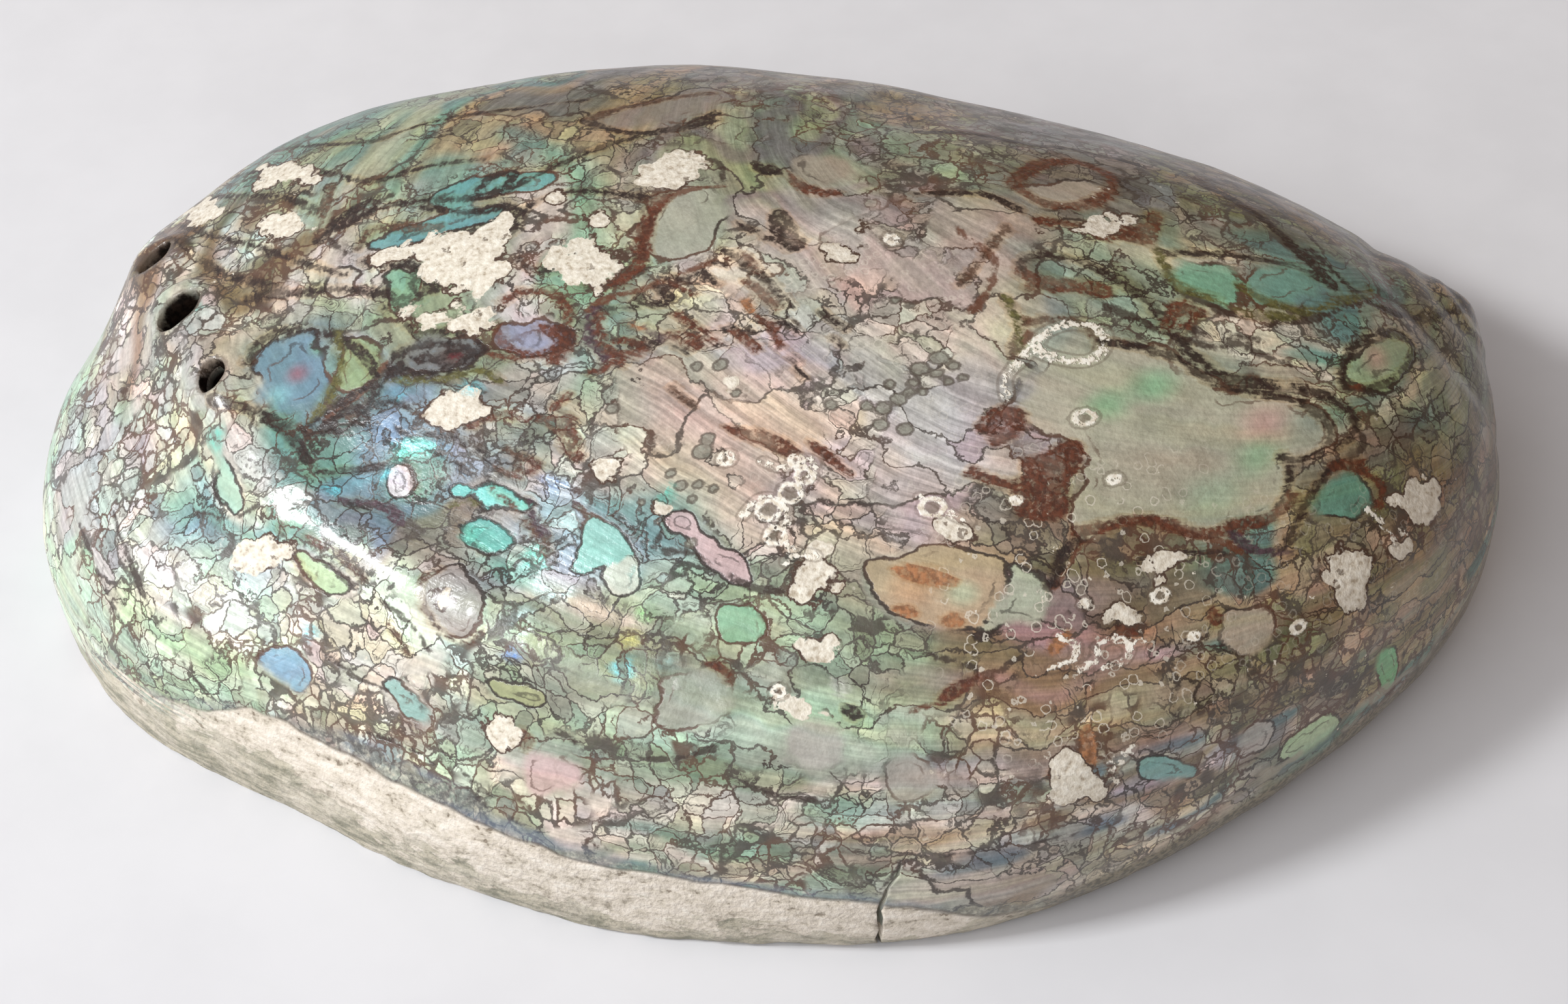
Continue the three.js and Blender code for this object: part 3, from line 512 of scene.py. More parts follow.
VEINS = [  # 0 dark, 1 rust
    (0, [(36.5, -11.5), (39.6, -12), (42, -13.7), (43.8, -15.6), (41.2, -17.7), (41.1, -19.8), (41.6, -22.7), (40.8, -25.5), (39.5, -27.3)]),
    (1, [(26.6, -25.4), (28.3, -24.9), (30.5, -25.4), (33.4, -26.3), (35.7, -26.4), (36.8, -27.1)]),
    (0, [(-39.4, -44.6), (-35.4, -47.4), (-30.7, -53), (-27.3, -57.6), (-22.7, -60.9)]),
    (0, [(-32.7, -44.3), (-32.2, -47.7), (-30.2, -51.4), (-26.9, -56.3)]),
    (1, [(-12.9, -4.3), (-11.5, -3.3), (-9.1, -2.8), (-7.8, -2), (-5.7, -1), (-4.1, -0.5)]),
    (0, [(-3.5, -1.3), (-2.1, -4.3), (-0.8, -7.3), (0.9, -8.6)]),
    (0, [(-7.5, -27.7), (-9.5, -30.7), (-6.2, -31.4), (-3.9, -33.1), (-1, -35), (1.7, -35.2)]),
    (0, [(-13.7, -25.1), (-11.7, -27.8), (-10, -30.3), (-7.8, -31.6)]),
    (0, [(-18.8, -48.6), (-15.8, -51.2), (-12, -52.7), (-6.9, -53), (-3.2, -51.5)]),
    (0, [(-0.6, -55.2), (3.2, -57.3), (7, -56.9), (9.5, -57.4)]),
    (1, [(13.7, -45.9), (15.7, -44.6), (18.3, -41.6), (19.5, -42.1)]),
    (0, [(13.8, -39.8), (18.2, -40.9)]),
    (0, [(-7.9, 13.5), (-5, 13.2), (-5, 9.8)]),
    (1, [(-9.1, 0.4), (-9.1, 2.8), (-8.7, 5.8), (-7.6, 7.7), (-5.1, 8.7)]),
    (0, [(-12.7, -2.1), (-10.4, -1.9), (-9, -0.8)]),
    (1, [(12, -6.1), (12.6, -3.7), (12.9, -1.4), (11.8, 0.3), (10.8, 1.5)]),
    (1, [(14.8, -6), (16.3, -7.2), (15.7, -9.8)]),
    (0, [(25.2, -3.3), (27.7, -4.4), (30.3, -5.8), (33.5, -6), (37.7, -4.5), (41.6, -2.1), (44.7, -1.8), (47.1, -2)]),
    (0, [(20.6, -5.2), (22.6, -6.3), (25.6, -7.6), (28.5, -8.3), (30.5, -7.8), (32.7, -8.8), (35.2, -9.4)]),
    (0, [(26.4, -6.7), (28.4, -7.4), (32, -7.4)]),
    (1, [(-25.8, -6), (-27.2, -7.9), (-29.2, -8.5), (-31, -9.9)]),
    (0, [(-43.8, -14.7), (-40.9, -16.6), (-37.9, -16.4)]),
    (0, [(-36.1, -23.4), (-34.9, -27), (-33.2, -29.7), (-30.4, -34.2), (-29.7, -37.4)]),
    (0, [(-34.5, -37.4), (-33.3, -41), (-32, -44.5)]),
    (0, [(-39.9, -34.3), (-38.3, -37.8), (-35.4, -40.4)]),
    (1, [(22.8, -32.3), (23.4, -29.7), (24, -27.7)]),
    (0, [(17.6, -37.7), (20.5, -36.4), (23.1, -35.8), (24.4, -34.7)]),
    (0, [(14.4, -70.1), (15.7, -66.8), (16.4, -64.4), (20.3, -63.6), (24.8, -62.3), (29.8, -60.4), (36.6, -58.4)]),
    (0, [(-33.7, -8.9), (-32.7, -10.6), (-30.8, -10.6), (-28.9, -10.6), (-26.7, -12.2), (-25, -15.9), (-23.7, -18.8)]),
    (0, [(-28.2, -8.2), (-26, -6.6), (-24.5, -7.4), (-22.4, -9.2)]),
    (0, [(-28.8, 5.4), (-30.8, 7.5), (-30.4, 9.7), (-27.6, 10.1), (-26.8, 10.5)]),
    (0, [(-52.3, -18.7), (-52.8, -23.3), (-53.6, -29.1), (-54.2, -34.4)]),
    (0, [(-57.8, -10.3), (-57.2, -16.7), (-57.6, -24.8), (-58.9, -31.7)]),
    (0, [(-52.4, -11.1), (-52.2, -17.2), (-53.1, -24.9)]),
]
STROKES = [  # colour, half width, line
    ("dark", 0.12, [(-4.3, 0.1), (-3.7, -0.1), (-3.3, -1.3)]),
    ("rust", 0.12, [(-3.1, -0.4), (-2.9, -1.4), (-2.9, -2.3)]),
    ("dark", 0.12, [(-5.3, -0.8), (-4.5, -1.2)]),
    ("dark", 0.12, [(-5.8, -1.5), (-5.4, -3.2)]),
    ("dark", 0.12, [(-6.7, -1.9), (-6, -2.7)]),
    ("dark", 0.14, [(-7.8, -1.9), (-6.9, -2.5)]),
    ("rust", 0.12, [(-7.6, -2.6), (-6.9, -4)]),
    ("dark", 0.12, [(-8.3, -2.6), (-7.7, -3.1)]),
    ("dark", 0.12, [(-8.7, -2.8), (-8.3, -4)]),
    ("dark", 0.12, [(-10.1, -3.8), (-9.7, -3.5)]),
    ("dark", 0.12, [(-10.1, -4.2), (-9.5, -4.6)]),
    ("dark", 0.12, [(-9.1, -4.6), (-8.5, -4.5)]),
    ("dark", 0.12, [(-11.9, -4.4), (-10.4, -4.6)]),
    ("purple", 0.16, [(-12.6, -4.2), (-13.2, -5.7), (-13.4, -7.3)]),
    ("rust", 0.20, [(-12.4, -4.7), (-12.9, -5.7), (-12.9, -7)]),
    ("purple", 0.16, [(-13.6, -6.4), (-13.5, -8.1), (-13.2, -10)]),
    ("rust", 0.19, [(-13.2, -7.6), (-12.7, -9.5), (-12.2, -11)]),
    ("rust", 0.13, [(-14.3, -10.9), (-13.4, -11), (-13, -10.1)]),
    ("rust", 0.22, [(-12.5, -8), (-11.7, -8), (-10.9, -8.8), (-10.8, -9.5)]),
    ("rust", 0.16, [(-11.8, -9.4), (-11.2, -10.2)]),
    ("orange", 0.13, [(-11, -6.1), (-10.5, -7)]),
    ("purple", 0.13, [(-10.3, -6.8), (-9.5, -8.8)]),
    ("dark", 0.12, [(-10.5, -9), (-10, -9.3)]),
    ("rust", 0.21, [(-9.1, -8.3), (-8.3, -9.4), (-7.2, -10.2)]),
    ("dark", 0.12, [(-8.7, -9.7), (-7.7, -10.7)]),
    ("rust", 0.16, [(-8.3, -6.1), (-7.5, -7.7), (-6.4, -8.9), (-5.6, -9.9)]),
    ("dark", 0.12, [(-5.8, -10.2), (-5, -10.4)]),
    ("rust", 0.16, [(-3.8, -3.3), (-3, -4.1), (-2.1, -5.5), (-1.1, -6.8)]),
    ("dark", 0.12, [(-2.7, -2.4), (-1.8, -3.8), (-1.3, -5.1), (0.1, -6.7)]),
    ("orange", 0.14, [(-3.8, -5.7), (-3.3, -6.8)]),
    ("rust", 0.17, [(-2.9, -7.8), (-2, -8.3), (-1.1, -8.7)]),
    ("dark", 0.14, [(-5.1, -8.5), (-4.6, -8.4)]),
    ("rust", 0.21, [(-4.3, -8.9), (-3.1, -10.2), (-2.5, -11)]),
    ("dark", 0.12, [(-3.7, -8.9), (-2.7, -9.2)]),
    ("rust", 0.15, [(-1.7, -8.7), (-1.1, -9.9), (-0.6, -10.9)]),
    ("dark", 0.13, [(-0.8, -8.4), (0.1, -8.3), (0.7, -9.1)]),
    ("dark", 0.12, [(0.3, -12), (1, -12.5)]),
    ("dark", 0.12, [(0.9, -13.1), (1.7, -13.9)]),
    ("dark", 0.17, [(2.5, -7), (3.3, -7.7), (4.2, -8.4)]),
    ("dark", 0.12, [(3.3, -9.5), (4, -10.2)]),
    ("brown", 0.12, [(-8.8, -14.1), (-7.7, -15.6), (-6.9, -16.3)]),
    ("dark", 0.17, [(-2, 1.4), (-0.9, 1), (0.6, 1.3)]),
    ("dark", 0.17, [(-33.3, -14.7), (-31.4, -15), (-29, -15.7), (-27.4, -15.6)]),
    ("brown", 0.12, [(-27.4, -15.6), (-27.1, -17.1), (-27.6, -19.2)]),
    ("purple", 0.26, [(-32.4, -18.3), (-31.1, -19.1), (-29.7, -20.3), (-29.4, -22.2)]),
    ("dark", 0.24, [(-35.5, -8.8), (-34.5, -9.4), (-33.5, -10.6), (-33.6, -11.6)]),
    ("dark", 0.13, [(-30.8, -10.5), (-29.3, -9.5), (-27.9, -9.7), (-26.1, -9.6), (-25.2, -10.8)]),
    ("dark", 0.12, [(-33.3, -10.6), (-31.4, -9.5), (-29.7, -8.6), (-27.8, -8), (-25.9, -7.3)]),
    ("dark", 0.12, [(-32.9, -11.1), (-30.8, -10), (-29.2, -9.3)]),
    ("dark", 0.12, [(-25.8, -7.1), (-25.4, -6), (-24.2, -5.1), (-23.5, -4.1), (-24.1, -3.2)]),
    ("dark", 0.21, [(-23.5, -6.2), (-22.5, -6.9), (-21.6, -5.9), (-20.6, -6.2)]),
    ("red", 0.12, [(-22.4, -6.7), (-21.4, -6.5)]),
    ("rust", 0.15, [(-19.4, -6.8), (-18.3, -7.8), (-16.7, -8.1), (-15.3, -7.1), (-14.9, -6.5), (-14.9, -5.2)]),
    ("dark", 0.12, [(-21, -4.6), (-19.9, -4.9), (-19.5, -6.6)]),
    ("rust", 0.18, [(-22.3, -13.9), (-20.2, -13.2), (-19.1, -14.7), (-17.3, -15.1)]),
    ("rust", 0.28, [(-17.5, -15.3), (-16.7, -17.8), (-15.8, -20)]),
    ("rust", 0.13, [(-17.2, -14.2), (-16, -12.9)]),
    ("dark", 0.12, [(-25.3, -13.5), (-23.6, -14.8), (-22.5, -16.8), (-21.9, -18.5)]),
    ("brown", 0.12, [(-21.9, -18.7), (-21.1, -20.2), (-20.3, -19.9), (-20.2, -18.5), (-21, -17.4)]),
    ("rust", 0.14, [(-20.2, -20.5), (-18.7, -20.2), (-19.5, -19.1)]),
    ("purple", 0.20, [(-19.8, -23.4), (-19.6, -25.1), (-18.6, -27.5)]),
    ("brown", 0.12, [(-18.6, -27.5), (-18, -29.7)]),
    ("brown", 0.12, [(-22.5, -21.1), (-20.8, -24.2), (-19.5, -26.7), (-18.5, -29.6)]),
    ("olive", 0.14, [(-25.9, -22), (-24.5, -21.7), (-23.8, -22.5)]),
    ("dark", 0.12, [(-25.4, -24.5), (-24.5, -26.8), (-23.5, -28.2)]),
    ("brown", 0.12, [(-37, -18.8), (-37.7, -20), (-37.8, -22.1), (-37.6, -25.2)]),
    ("brown", 0.12, [(-34.6, -22), (-34.3, -24.5), (-33.4, -27.4)]),
    ("brown", 0.12, [(-27.1, -29.1), (-28.2, -29.1), (-28.9, -30.3), (-29, -32.8), (-27.9, -35.7), (-26.7, -37.1), (-25.3, -37.8), (-24, -36.7)]),
    ("brown", 0.12, [(-32.8, -32.9), (-32.3, -35.2), (-31.9, -36.7)]),
    ("rust", 0.17, [(-35.7, -20.9), (-35.4, -22.5)]),
    ("rust", 0.35, [(23.5, -26.8), (25.9, -25.9), (27.7, -25.1), (30.4, -25.4), (33.3, -26), (35.6, -24.6), (38, -23.6), (38.9, -21.4)]),
    ("dark", 0.18, [(20.6, -8.4), (23.4, -8.6), (26.8, -9.6), (28.7, -11.3), (32.5, -12.1), (35.8, -12.3), (39.1, -13.7), (40.2, -15.4), (39.6, -17.1), (37.6, -18.1), (36.6, -17.6)]),
    ("dark", 0.18, [(37.6, -18.1), (38.4, -20.9), (38, -23.6)]),
    ("dark", 0.18, [(39.7, -17.4), (42.1, -15.1), (42.1, -13.2), (39.2, -11.8), (35.5, -11.1)]),
    ("dark", 0.15, [(41.1, -17.8), (40.4, -20.5), (40.3, -23.2), (40.2, -25.9)]),
    ("rust", 0.23, [(47.3, -20.6), (47.1, -18.7), (43, -17.5), (41.1, -17.8)]),
    ("dark", 0.21, [(40.3, -11), (39.3, -9.3), (40.4, -6.6), (44.3, -4.4), (47.8, -4.1), (47.9, -6.1), (44.2, -9.6), (41.5, -10.8)]),
    ("rust", 0.26, [(17.1, 6.8), (17.7, 4.5), (20.5, 4.3), (24.1, 6.4), (25.8, 9.3), (24.6, 11.6), (21.8, 11.2), (18.4, 8.4), (17.1, 6.8)]),
    ("dark", 0.17, [(10.4, 6.1), (13, 5.8), (14.9, 5.3), (15.9, 3.7)]),
    ("rust", 0.18, [(16.8, 2.6), (20.4, 2.1), (24.9, 2.2), (26.1, 4.2)]),
    ("olive", 0.18, [(24.6, -0.1), (25.1, -3.1), (28.1, -4.1), (31.3, -5.3), (34.8, -5.1), (38.8, -3.2), (44.1, -0.4)]),
    ("dark", 0.13, [(25.1, -0.1), (28.9, 0.3), (32.3, 0.2), (35.9, 0.2), (39.4, -1)]),
    ("olive", 0.15, [(30.4, -2.7), (33.1, -4.2), (36.7, -4.2), (40.4, -2.1)]),
    ("rust", 0.30, [(14.3, -2.3), (16.2, -3.5), (18.4, -3.4), (20.3, -3.9)]),
    ("dark", 0.13, [(14.8, -2.9), (14.3, -1.2), (16.7, -0.6), (19.4, -1.7), (22.6, -3.9), (24.8, -6.1)]),
    ("rust", 0.22, [(24.8, -6.7), (26.1, -4.8), (27.6, -5.3), (26.3, -6.6)]),
    ("dark", 0.17, [(25.4, -7.3), (28.4, -10.1), (30.6, -11.1), (34.4, -11.3)]),
    ("brown", 0.13, [(15.6, -10.4), (15.2, -7.1), (17.1, -6.4), (19.4, -6.9), (20.7, -8.7)]),
    ("brown", 0.13, [(10.6, -3.5), (12.1, -0.6), (14.2, 1.8)]),
    ("olive", 0.15, [(13.8, -4.7), (15.2, -7.1), (15.9, -9.7)]),
    ("rust", 0.38, [(15.1, -17.2), (16.2, -15.7), (17.4, -17), (16.2, -18.4)]),
    ("rust", 0.29, [(14.8, -21.8), (17.4, -22.9), (19.8, -22.6)]),
    ("dark", 0.24, [(22.5, -32.1), (22.7, -28.9), (23.7, -27.5)]),
    ("dark", 0.14, [(28.7, -28.9), (32.2, -27.8), (36, -27.3)]),
    ("purple", 0.21, [(35.3, -25.3), (37.6, -27), (41.1, -26.5)]),
    ("dark", 0.20, [(38.9, 2.4), (41, -0.6), (44.9, -2.2), (51.2, -0.7), (60.4, 3.7)]),
    ("dark", 0.38, [(33.7, 9.8), (35.5, 6.3), (37, 2.6), (39.4, -1)]),
    ("dark", 0.35, [(38.4, 11.9), (47.4, 15.5), (45.8, 6.9), (55.5, 6.8), (61.1, 2.7)]),
    ("dark", 0.30, [(32.7, 15), (33.7, 9.8), (39.3, 14), (40.3, 9.3)]),
    ("dark", 0.26, [(14.8, 18.3), (19.6, 18.5), (22.4, 15.1), (26.1, 14.2), (29.7, 12.2)]),
    ("dark", 0.20, [(-27.2, 4.1), (-25.6, 3), (-23.7, 3), (-22.7, 0.9), (-21.8, 0)]),
    ("brown", 0.14, [(-27.9, 5.6), (-27.4, 7.5), (-25.3, 6.8), (-22.4, 5.9)]),
    ("dark", 0.13, [(-25, -0.9), (-24.3, -3), (-22.3, -4.2), (-20.5, -4)]),
    ("dark", 0.13, [(-25, -1.5), (-23.6, -0.7), (-22.2, 0.2)]),
    ("dark", 0.16, [(-30, 8.1), (-27.4, 9.6), (-24.1, 9.2), (-21.2, 8.4), (-18.7, 8.5), (-16.6, 10.6), (-14.7, 13.5), (-11.5, 17.7), (-4.4, 20.8)]),
    ("dark", 0.26, [(-31.4, 7.6), (-30.3, 9.3), (-28.2, 10.7)]),
    ("brown", 0.20, [(-32.4, 14.1), (-31.7, 10.6), (-31.4, 7.6)]),
    ("dark", 0.15, [(-23.9, 8.4), (-20.8, 6.8), (-18.3, 6.9), (-17.3, 5.9)]),
    ("dark", 0.15, [(-20.6, 9.3), (-20.1, 10.9), (-18.4, 10.9), (-18.5, 9.6), (-19.9, 8.4)]),
    ("dark", 0.24, [(-15.6, 20.3), (-12.4, 17.6), (-8.2, 19.4), (-4.2, 22.3)]),
    ("brown", 0.20, [(-15.6, 20.3), (-13.3, 23.8), (-9, 26.5), (-4.3, 27.4)]),
    ("rust", 0.23, [(-8.7, 7.1), (-9.4, 1.8), (-9, -0.1), (-10.4, -1.7), (-11.7, -2.2)]),
    ("dark", 0.13, [(-17.3, 3.9), (-17.3, 5.9), (-15.2, 7.8), (-12.8, 7.8), (-9.8, 6.7)]),
    ("dark", 0.13, [(-16.7, 1.3), (-15.8, -0.1), (-13.4, 0), (-12, -2.1)]),
    ("rust", 0.20, [(-17.7, -2.2), (-16.4, -1.5), (-14.5, -2.3), (-14.1, -4.3), (-14.8, -7), (-16.7, -7.9), (-18.3, -6.7), (-18.6, -4.5)]),
    ("rust", 0.36, [(-15.6, -5.3), (-14.8, -7), (-16, -8.6)]),
    ("dark", 0.18, [(-25.3, -5.9), (-24.2, -4.9), (-21.7, -5.3), (-19.9, -6.5), (-20.9, -7.3), (-23.2, -7.9), (-25.2, -7.2), (-25.3, -5.9)]),
    ("olive", 0.14, [(-25.8, -7.7), (-23.4, -8.6), (-20, -8.3), (-19.6, -9.9)]),
    ("dark", 0.17, [(-35.8, -3.1), (-35.1, -0.8), (-32.4, -0.5), (-29.4, -2.1), (-27.7, -3.9), (-26.5, -6.8), (-27.8, -9.8), (-29.6, -11.3), (-32.4, -10.9)]),
    ("olive", 0.14, [(-28.9, -2.2), (-28.9, -5.4), (-30, -7.7), (-32, -9.7)]),
    ("dark", 0.29, [(-38.6, -5.9), (-35.6, -7.7), (-33.3, -10.6), (-33.3, -13.5)]),
    ("dark", 0.19, [(-36.6, 3.7), (-32.6, 2.8), (-28.4, 1.9), (-25.9, 0.6), (-23.6, -0.7)]),
    ("dark", 0.13, [(-23.2, 2.3), (-23.6, -0.1), (-25.4, -0.8)]),
    ("dark", 0.12, [(-49.9, 23.3), (-42.8, 18.5), (-35.7, 14.2), (-32.4, 10.9)]),
    ("dark", 0.13, [(-52.6, 21.8), (-43.2, 13.6), (-37.6, 9.7), (-31.3, 4.9), (-28.5, 3.2)]),
    ("dark", 0.12, [(-53, 20.9), (-42.2, 9.9), (-38.5, 6.5), (-33.8, 3.9)]),
    ("dark", 0.12, [(-45.2, 27.7), (-37.9, 23.3), (-31.1, 19.5), (-27.7, 21.6), (-21.9, 22.5), (-16.2, 25.6)]),
    ("dark", 0.12, [(-47.5, 25.3), (-41.5, 21.4), (-33.9, 16.8), (-28.8, 12.5), (-25.3, 13.8), (-21.1, 13.4)]),
]

# ------------------------------------------------------------------ colours
def lin(c):
    return tuple((x / 255) / 12.92 if x / 255 <= 0.04045 else ((x / 255 + 0.055) / 1.055) ** 2.4 for x in c)


PALETTE = {
    "sagepale": (186, 177, 152), "darkslate": (98, 92, 84), "umberdark": (128, 106, 82), "tealdark": (98, 126, 120),
    "mintpale": (196, 205, 186), "mint": (180, 200, 174), "pearl": (182, 180, 172), "umber": (150, 131, 106),
    "greygreen": (134, 142, 122), "sage": (158, 164, 145), "blue": (102, 126, 144), "seagreen": (124, 150, 132),
    "teal": (104, 140, 134), "olive": (138, 143, 112), "slate": (118, 113, 106), "tan": (168, 149, 124),
    "silver": (188, 178, 164), "pearlpink": (198, 178, 164), "lilac": (180, 167, 166), "mintsage": (160, 176, 152),
    "skyblue": (148, 160, 164), "aqua": (122, 176, 166), "limegreen": (154, 172, 130), "cream": (214, 205, 184),
    "moss": (122, 113, 82), "deepteal": (88, 118, 110), "rose": (152, 124, 120), "bluegrey": (112, 124, 133)}
PATCH_COLOUR = {
    "sage": (173, 167, 145), "greenoval": (152, 172, 134), "beige": (164, 153, 135), "amber": (178, 156, 124),
    "palesage": (176, 181, 157), "disc1": (150, 141, 134), "disc2": (150, 154, 138), "blue": (100, 130, 148),
    "ringgreen": (138, 158, 116), "eye": (104, 108, 118), "lilacoval": (132, 136, 156), "tealgreen": (92, 142, 122),
    "brightgreen": (120, 182, 132), "palegreen": (174, 198, 160), "teal2": (120, 166, 160), "topgreen": (116, 162, 132),
    "topgreen2": (112, 152, 134), "cellgrey": (166, 161, 150), "swirl": (168, 163, 153), "pinkstreak": (196, 170, 168),
    "disc3": (206, 210, 192), "greenl": (176, 204, 158), "bluel": (120, 160, 184), "mintl": (158, 190, 172),
    "tealband": (94, 150, 154), "tealband2": (92, 152, 150), "greyoval": (150, 160, 150), "toptan": (134, 123, 112),
    "pebgreen": (146, 166, 150), "palepeb": (186, 181, 167), "greenpeb": (122, 166, 142), "sagegrey": (160, 158, 141),
    "tan2": (152, 140, 122), "tanr": (166, 151, 131), "greycell2": (170, 165, 155), "lilacw": (206, 200, 206),
    "teald": (92, 168, 160), "cyanstrip": (112, 200, 190), "mintband": (146, 198, 184), "greenmid": (132, 178, 142),
    "pinkl": (192, 164, 160), "oliveband": (152, 152, 110), "tealleft": (136, 174, 164)}
STAIN_COLOUR = {"rust": (92, 46, 26), "dark": (42, 26, 21), "orange": (160, 108, 70), "purple": (72, 50, 58),
                "brown": (86, 60, 44), "olive": (92, 88, 44), "red": (104, 38, 42)}
# colours of the painted highlights
PAINTED_GLINT_COLOUR = {"cyan": (104, 208, 220), "cyanw": (206, 234, 232), "aqua": (112, 206, 186), "teal": (88, 172, 164),
                "blue": (104, 138, 190), "white": (238, 238, 230), "yellow": (204, 198, 118), "green": (134, 196, 124)}
SPOTS = [  # soft tints inside patches: place, radius, softness, colour
    (25.3, -12.2, 2.2, 0.9, (140, 176, 140)), (34.3, -14.9, 2.8, 1.0, (184, 146, 136)),
    (34.8, -18.0, 2.4, 1.0, (152, 180, 142)), (22.8, -14.3, 2.0, 0.9, (146, 180, 140)),
    (42.9, -7.4, 2.0, 1.0, (172, 142, 122)), (-32.2, -5.0, 1.1, 0.95, (134, 88, 106)),
    (-21.7, -6.6, 1.3, 0.8, (72, 50, 60)), (32.6, -22.2, 3.0, 0.9, (164, 176, 148)),
    (-30.2, -3.0, 1.1, 0.8, (104, 150, 120)), (-33.9, -6.6, 1.2, 0.8, (120, 168, 180)),
    (11.9, -33.5, 2.3, 0.8, (188, 150, 112)), (15.8, -33.6, 1.6, 0.8, (182, 186, 152)),
    (29.5, -16.5, 4.0, 1.0, (175, 168, 147)), (38.0, -14.6, 2.2, 0.9, (150, 152, 140))]
# where the chalky band above the foot begins, and the dark band over it (deg, t)
BAND_TOP = [(150, 1.80), (190, 1.62), (199, 1.47), (203, 1.40), (207, 1.42), (212, 1.385), (216, 1.30), (220.5, 1.305),
            (224.5, 1.318), (232.5, 1.339), (240.5, 1.361), (251, 1.405), (261, 1.44), (270, 1.475), (281.5, 1.51),
            (287.5, 1.562), (291, 1.64), (300, 1.74), (330, 1.74), (345, 1.66), (360, 1.62)]
DARK_TOP = [(150, 1.80), (205, 1.40), (214, 1.28), (222.5, 1.25), (228.5, 1.235), (240, 1.261), (251, 1.322),
            (261, 1.374), (270, 1.422), (281.5, 1.457), (290, 1.53), (300, 1.60), (345, 1.60), (360, 1.6)]


def chaikin(p, closed, times=2):
    p = np.asarray(p, float)
    for _ in range(times):
        if closed:
            q = np.roll(p, -1, 0)
            p = np.stack([0.78 * p + 0.22 * q, 0.22 * p + 0.78 * q], 1).reshape(-1, 2)
        else:
            a, b = p[:-1], p[1:]
            m = np.stack([0.78 * a + 0.22 * b, 0.22 * a + 0.78 * b], 1).reshape(-1, 2)
            p = np.concatenate([p[:1], m[1:-1], p[-1:]]) if len(p) > 2 else p
    return p


def line_distance(c, p, closed):
    d = np.full(len(c), 1e9)
    ends = zip(p, np.roll(p, -1, 0)) if closed else zip(p[:-1], p[1:])
    for a, b in ends:
        ab = b - a
        k = np.clip(((c - a) @ ab) / max(ab @ ab, 1e-9), 0, 1)
        d = np.minimum(d, np.hypot(*(c - a - k[:, None] * ab).T))
    return d


def polygon_distance(c, p):      # negative inside
    d = line_distance(c, p, True)
    ins = np.zeros(len(c), bool)
    for a, b in zip(p, np.roll(p, -1, 0)):
        cross = (a[1] > c[:, 1]) != (b[1] > c[:, 1])
        x = (b[0] - a[0]) * (c[:, 1] - a[1]) / (b[1] - a[1] if b[1] != a[1] else 1e-9) + a[0]
        ins ^= cross & (c[:, 0] < x)
    return np.where(ins, -d, d)


OUT = np.nonzero(outside)[0]
FAR = 6.0


def field(shapes, measure, shift=0.0):
    """Least distance over shapes at every vertex, with the colour of the nearest."""
    d = np.full(N, FAR)
    col = np.zeros((N, 3))
    for s in shapes:
        p, c = s[0], s[1]
        lo, hi = p.min(0) - FAR, p.max(0) + FAR
        m = OUT[((CH[OUT] > lo) & (CH[OUT] < hi)).all(1)]
        if len(m):
            v = measure(CH[m], *s) - shift
            k = v < d[m]
            d[m[k]] = v[k]
            col[m[k]] = lin(c)
    return d, col


poly = lambda c, p, col: polygon_distance(c, p)
stroke = lambda c, p, col, w: line_distance(c, p, False) - w
disc = lambda c, p, col, r: np.hypot(*(c - p[0]).T) - r

sdP, colP = field([(chaikin(p, True), PATCH_COLOUR[n]) for n, p in PATCHES], poly)
sdC, _ = field([(chaikin(p, True, 1), (0, 0, 0)) for p in CREAMS] + [(np.array([(-27.0 + 1.05 * math.cos(q), -32.3 + 1.05 * math.sin(q)) for q in np.arange(0, TAU, 0.4)]), (0, 0, 0))], poly)
sdR, colR = field([(chaikin(p, True, 1), STAIN_COLOUR[n]) for n, p in STAINS], poly)
sdS, colS = field([(chaikin(p, False), STAIN_COLOUR[n], w * 1.6 + 0.13) for n, w, p in STROKES], stroke)
m = sdS < sdR
sdR[m], colR[m] = sdS[m], colS[m]
sdG, colG = field([(chaikin(p, True, 1), PAINTED_GLINT_COLOUR[n]) for n, p in PAINTED_GLINTS], poly)
sdD, _ = field([(np.array([(x, y)], float), (0, 0, 0), r) for x, y, r in DOTS], disc)
sdO, _ = field([(np.array([(x, y)], float), (0, 0, 0), r) for x, y, r, w in RINGS], disc)
sdW, _ = field([(chaikin(p, False), (0, 0, 0), w) for p, w in LOOPS], stroke)
sdL, colL = field([(chaikin(p, False), (96, 56, 36) if k else (52, 38, 31)) for k, p in VEINS], lambda c, p, col: line_distance(c, p, False))
for x, y, r, s, c in SPOTS:
    w = 1 - smooth((np.hypot(CH[:, 0] - x, CH[:, 1] - y) - r * (1 - s)) / (r * s * 1.2))
    colP += (np.array(lin(c)) - colP) * (w * outside)[:, None]

# growth coordinates: k grows from the spire to the lip, th turns about the spire
S = np.array([52.8, 30.5])
D = CH - S
rho = np.maximum(np.hypot(*D.T), 1e-6)
U = D / rho[:, None]
su = U @ S
reach = -su + np.sqrt(np.maximum(su ** 2 + 75.4 ** 2 - S @ S, 1e-6))
k_ = rho / np.maximum(reach, 3)
th = (np.arctan2(D[:, 1], D[:, 0]) - math.radians(30)) % TAU
GCO = np.stack([k_ * 100, th * 60, np.zeros(N)], -1)

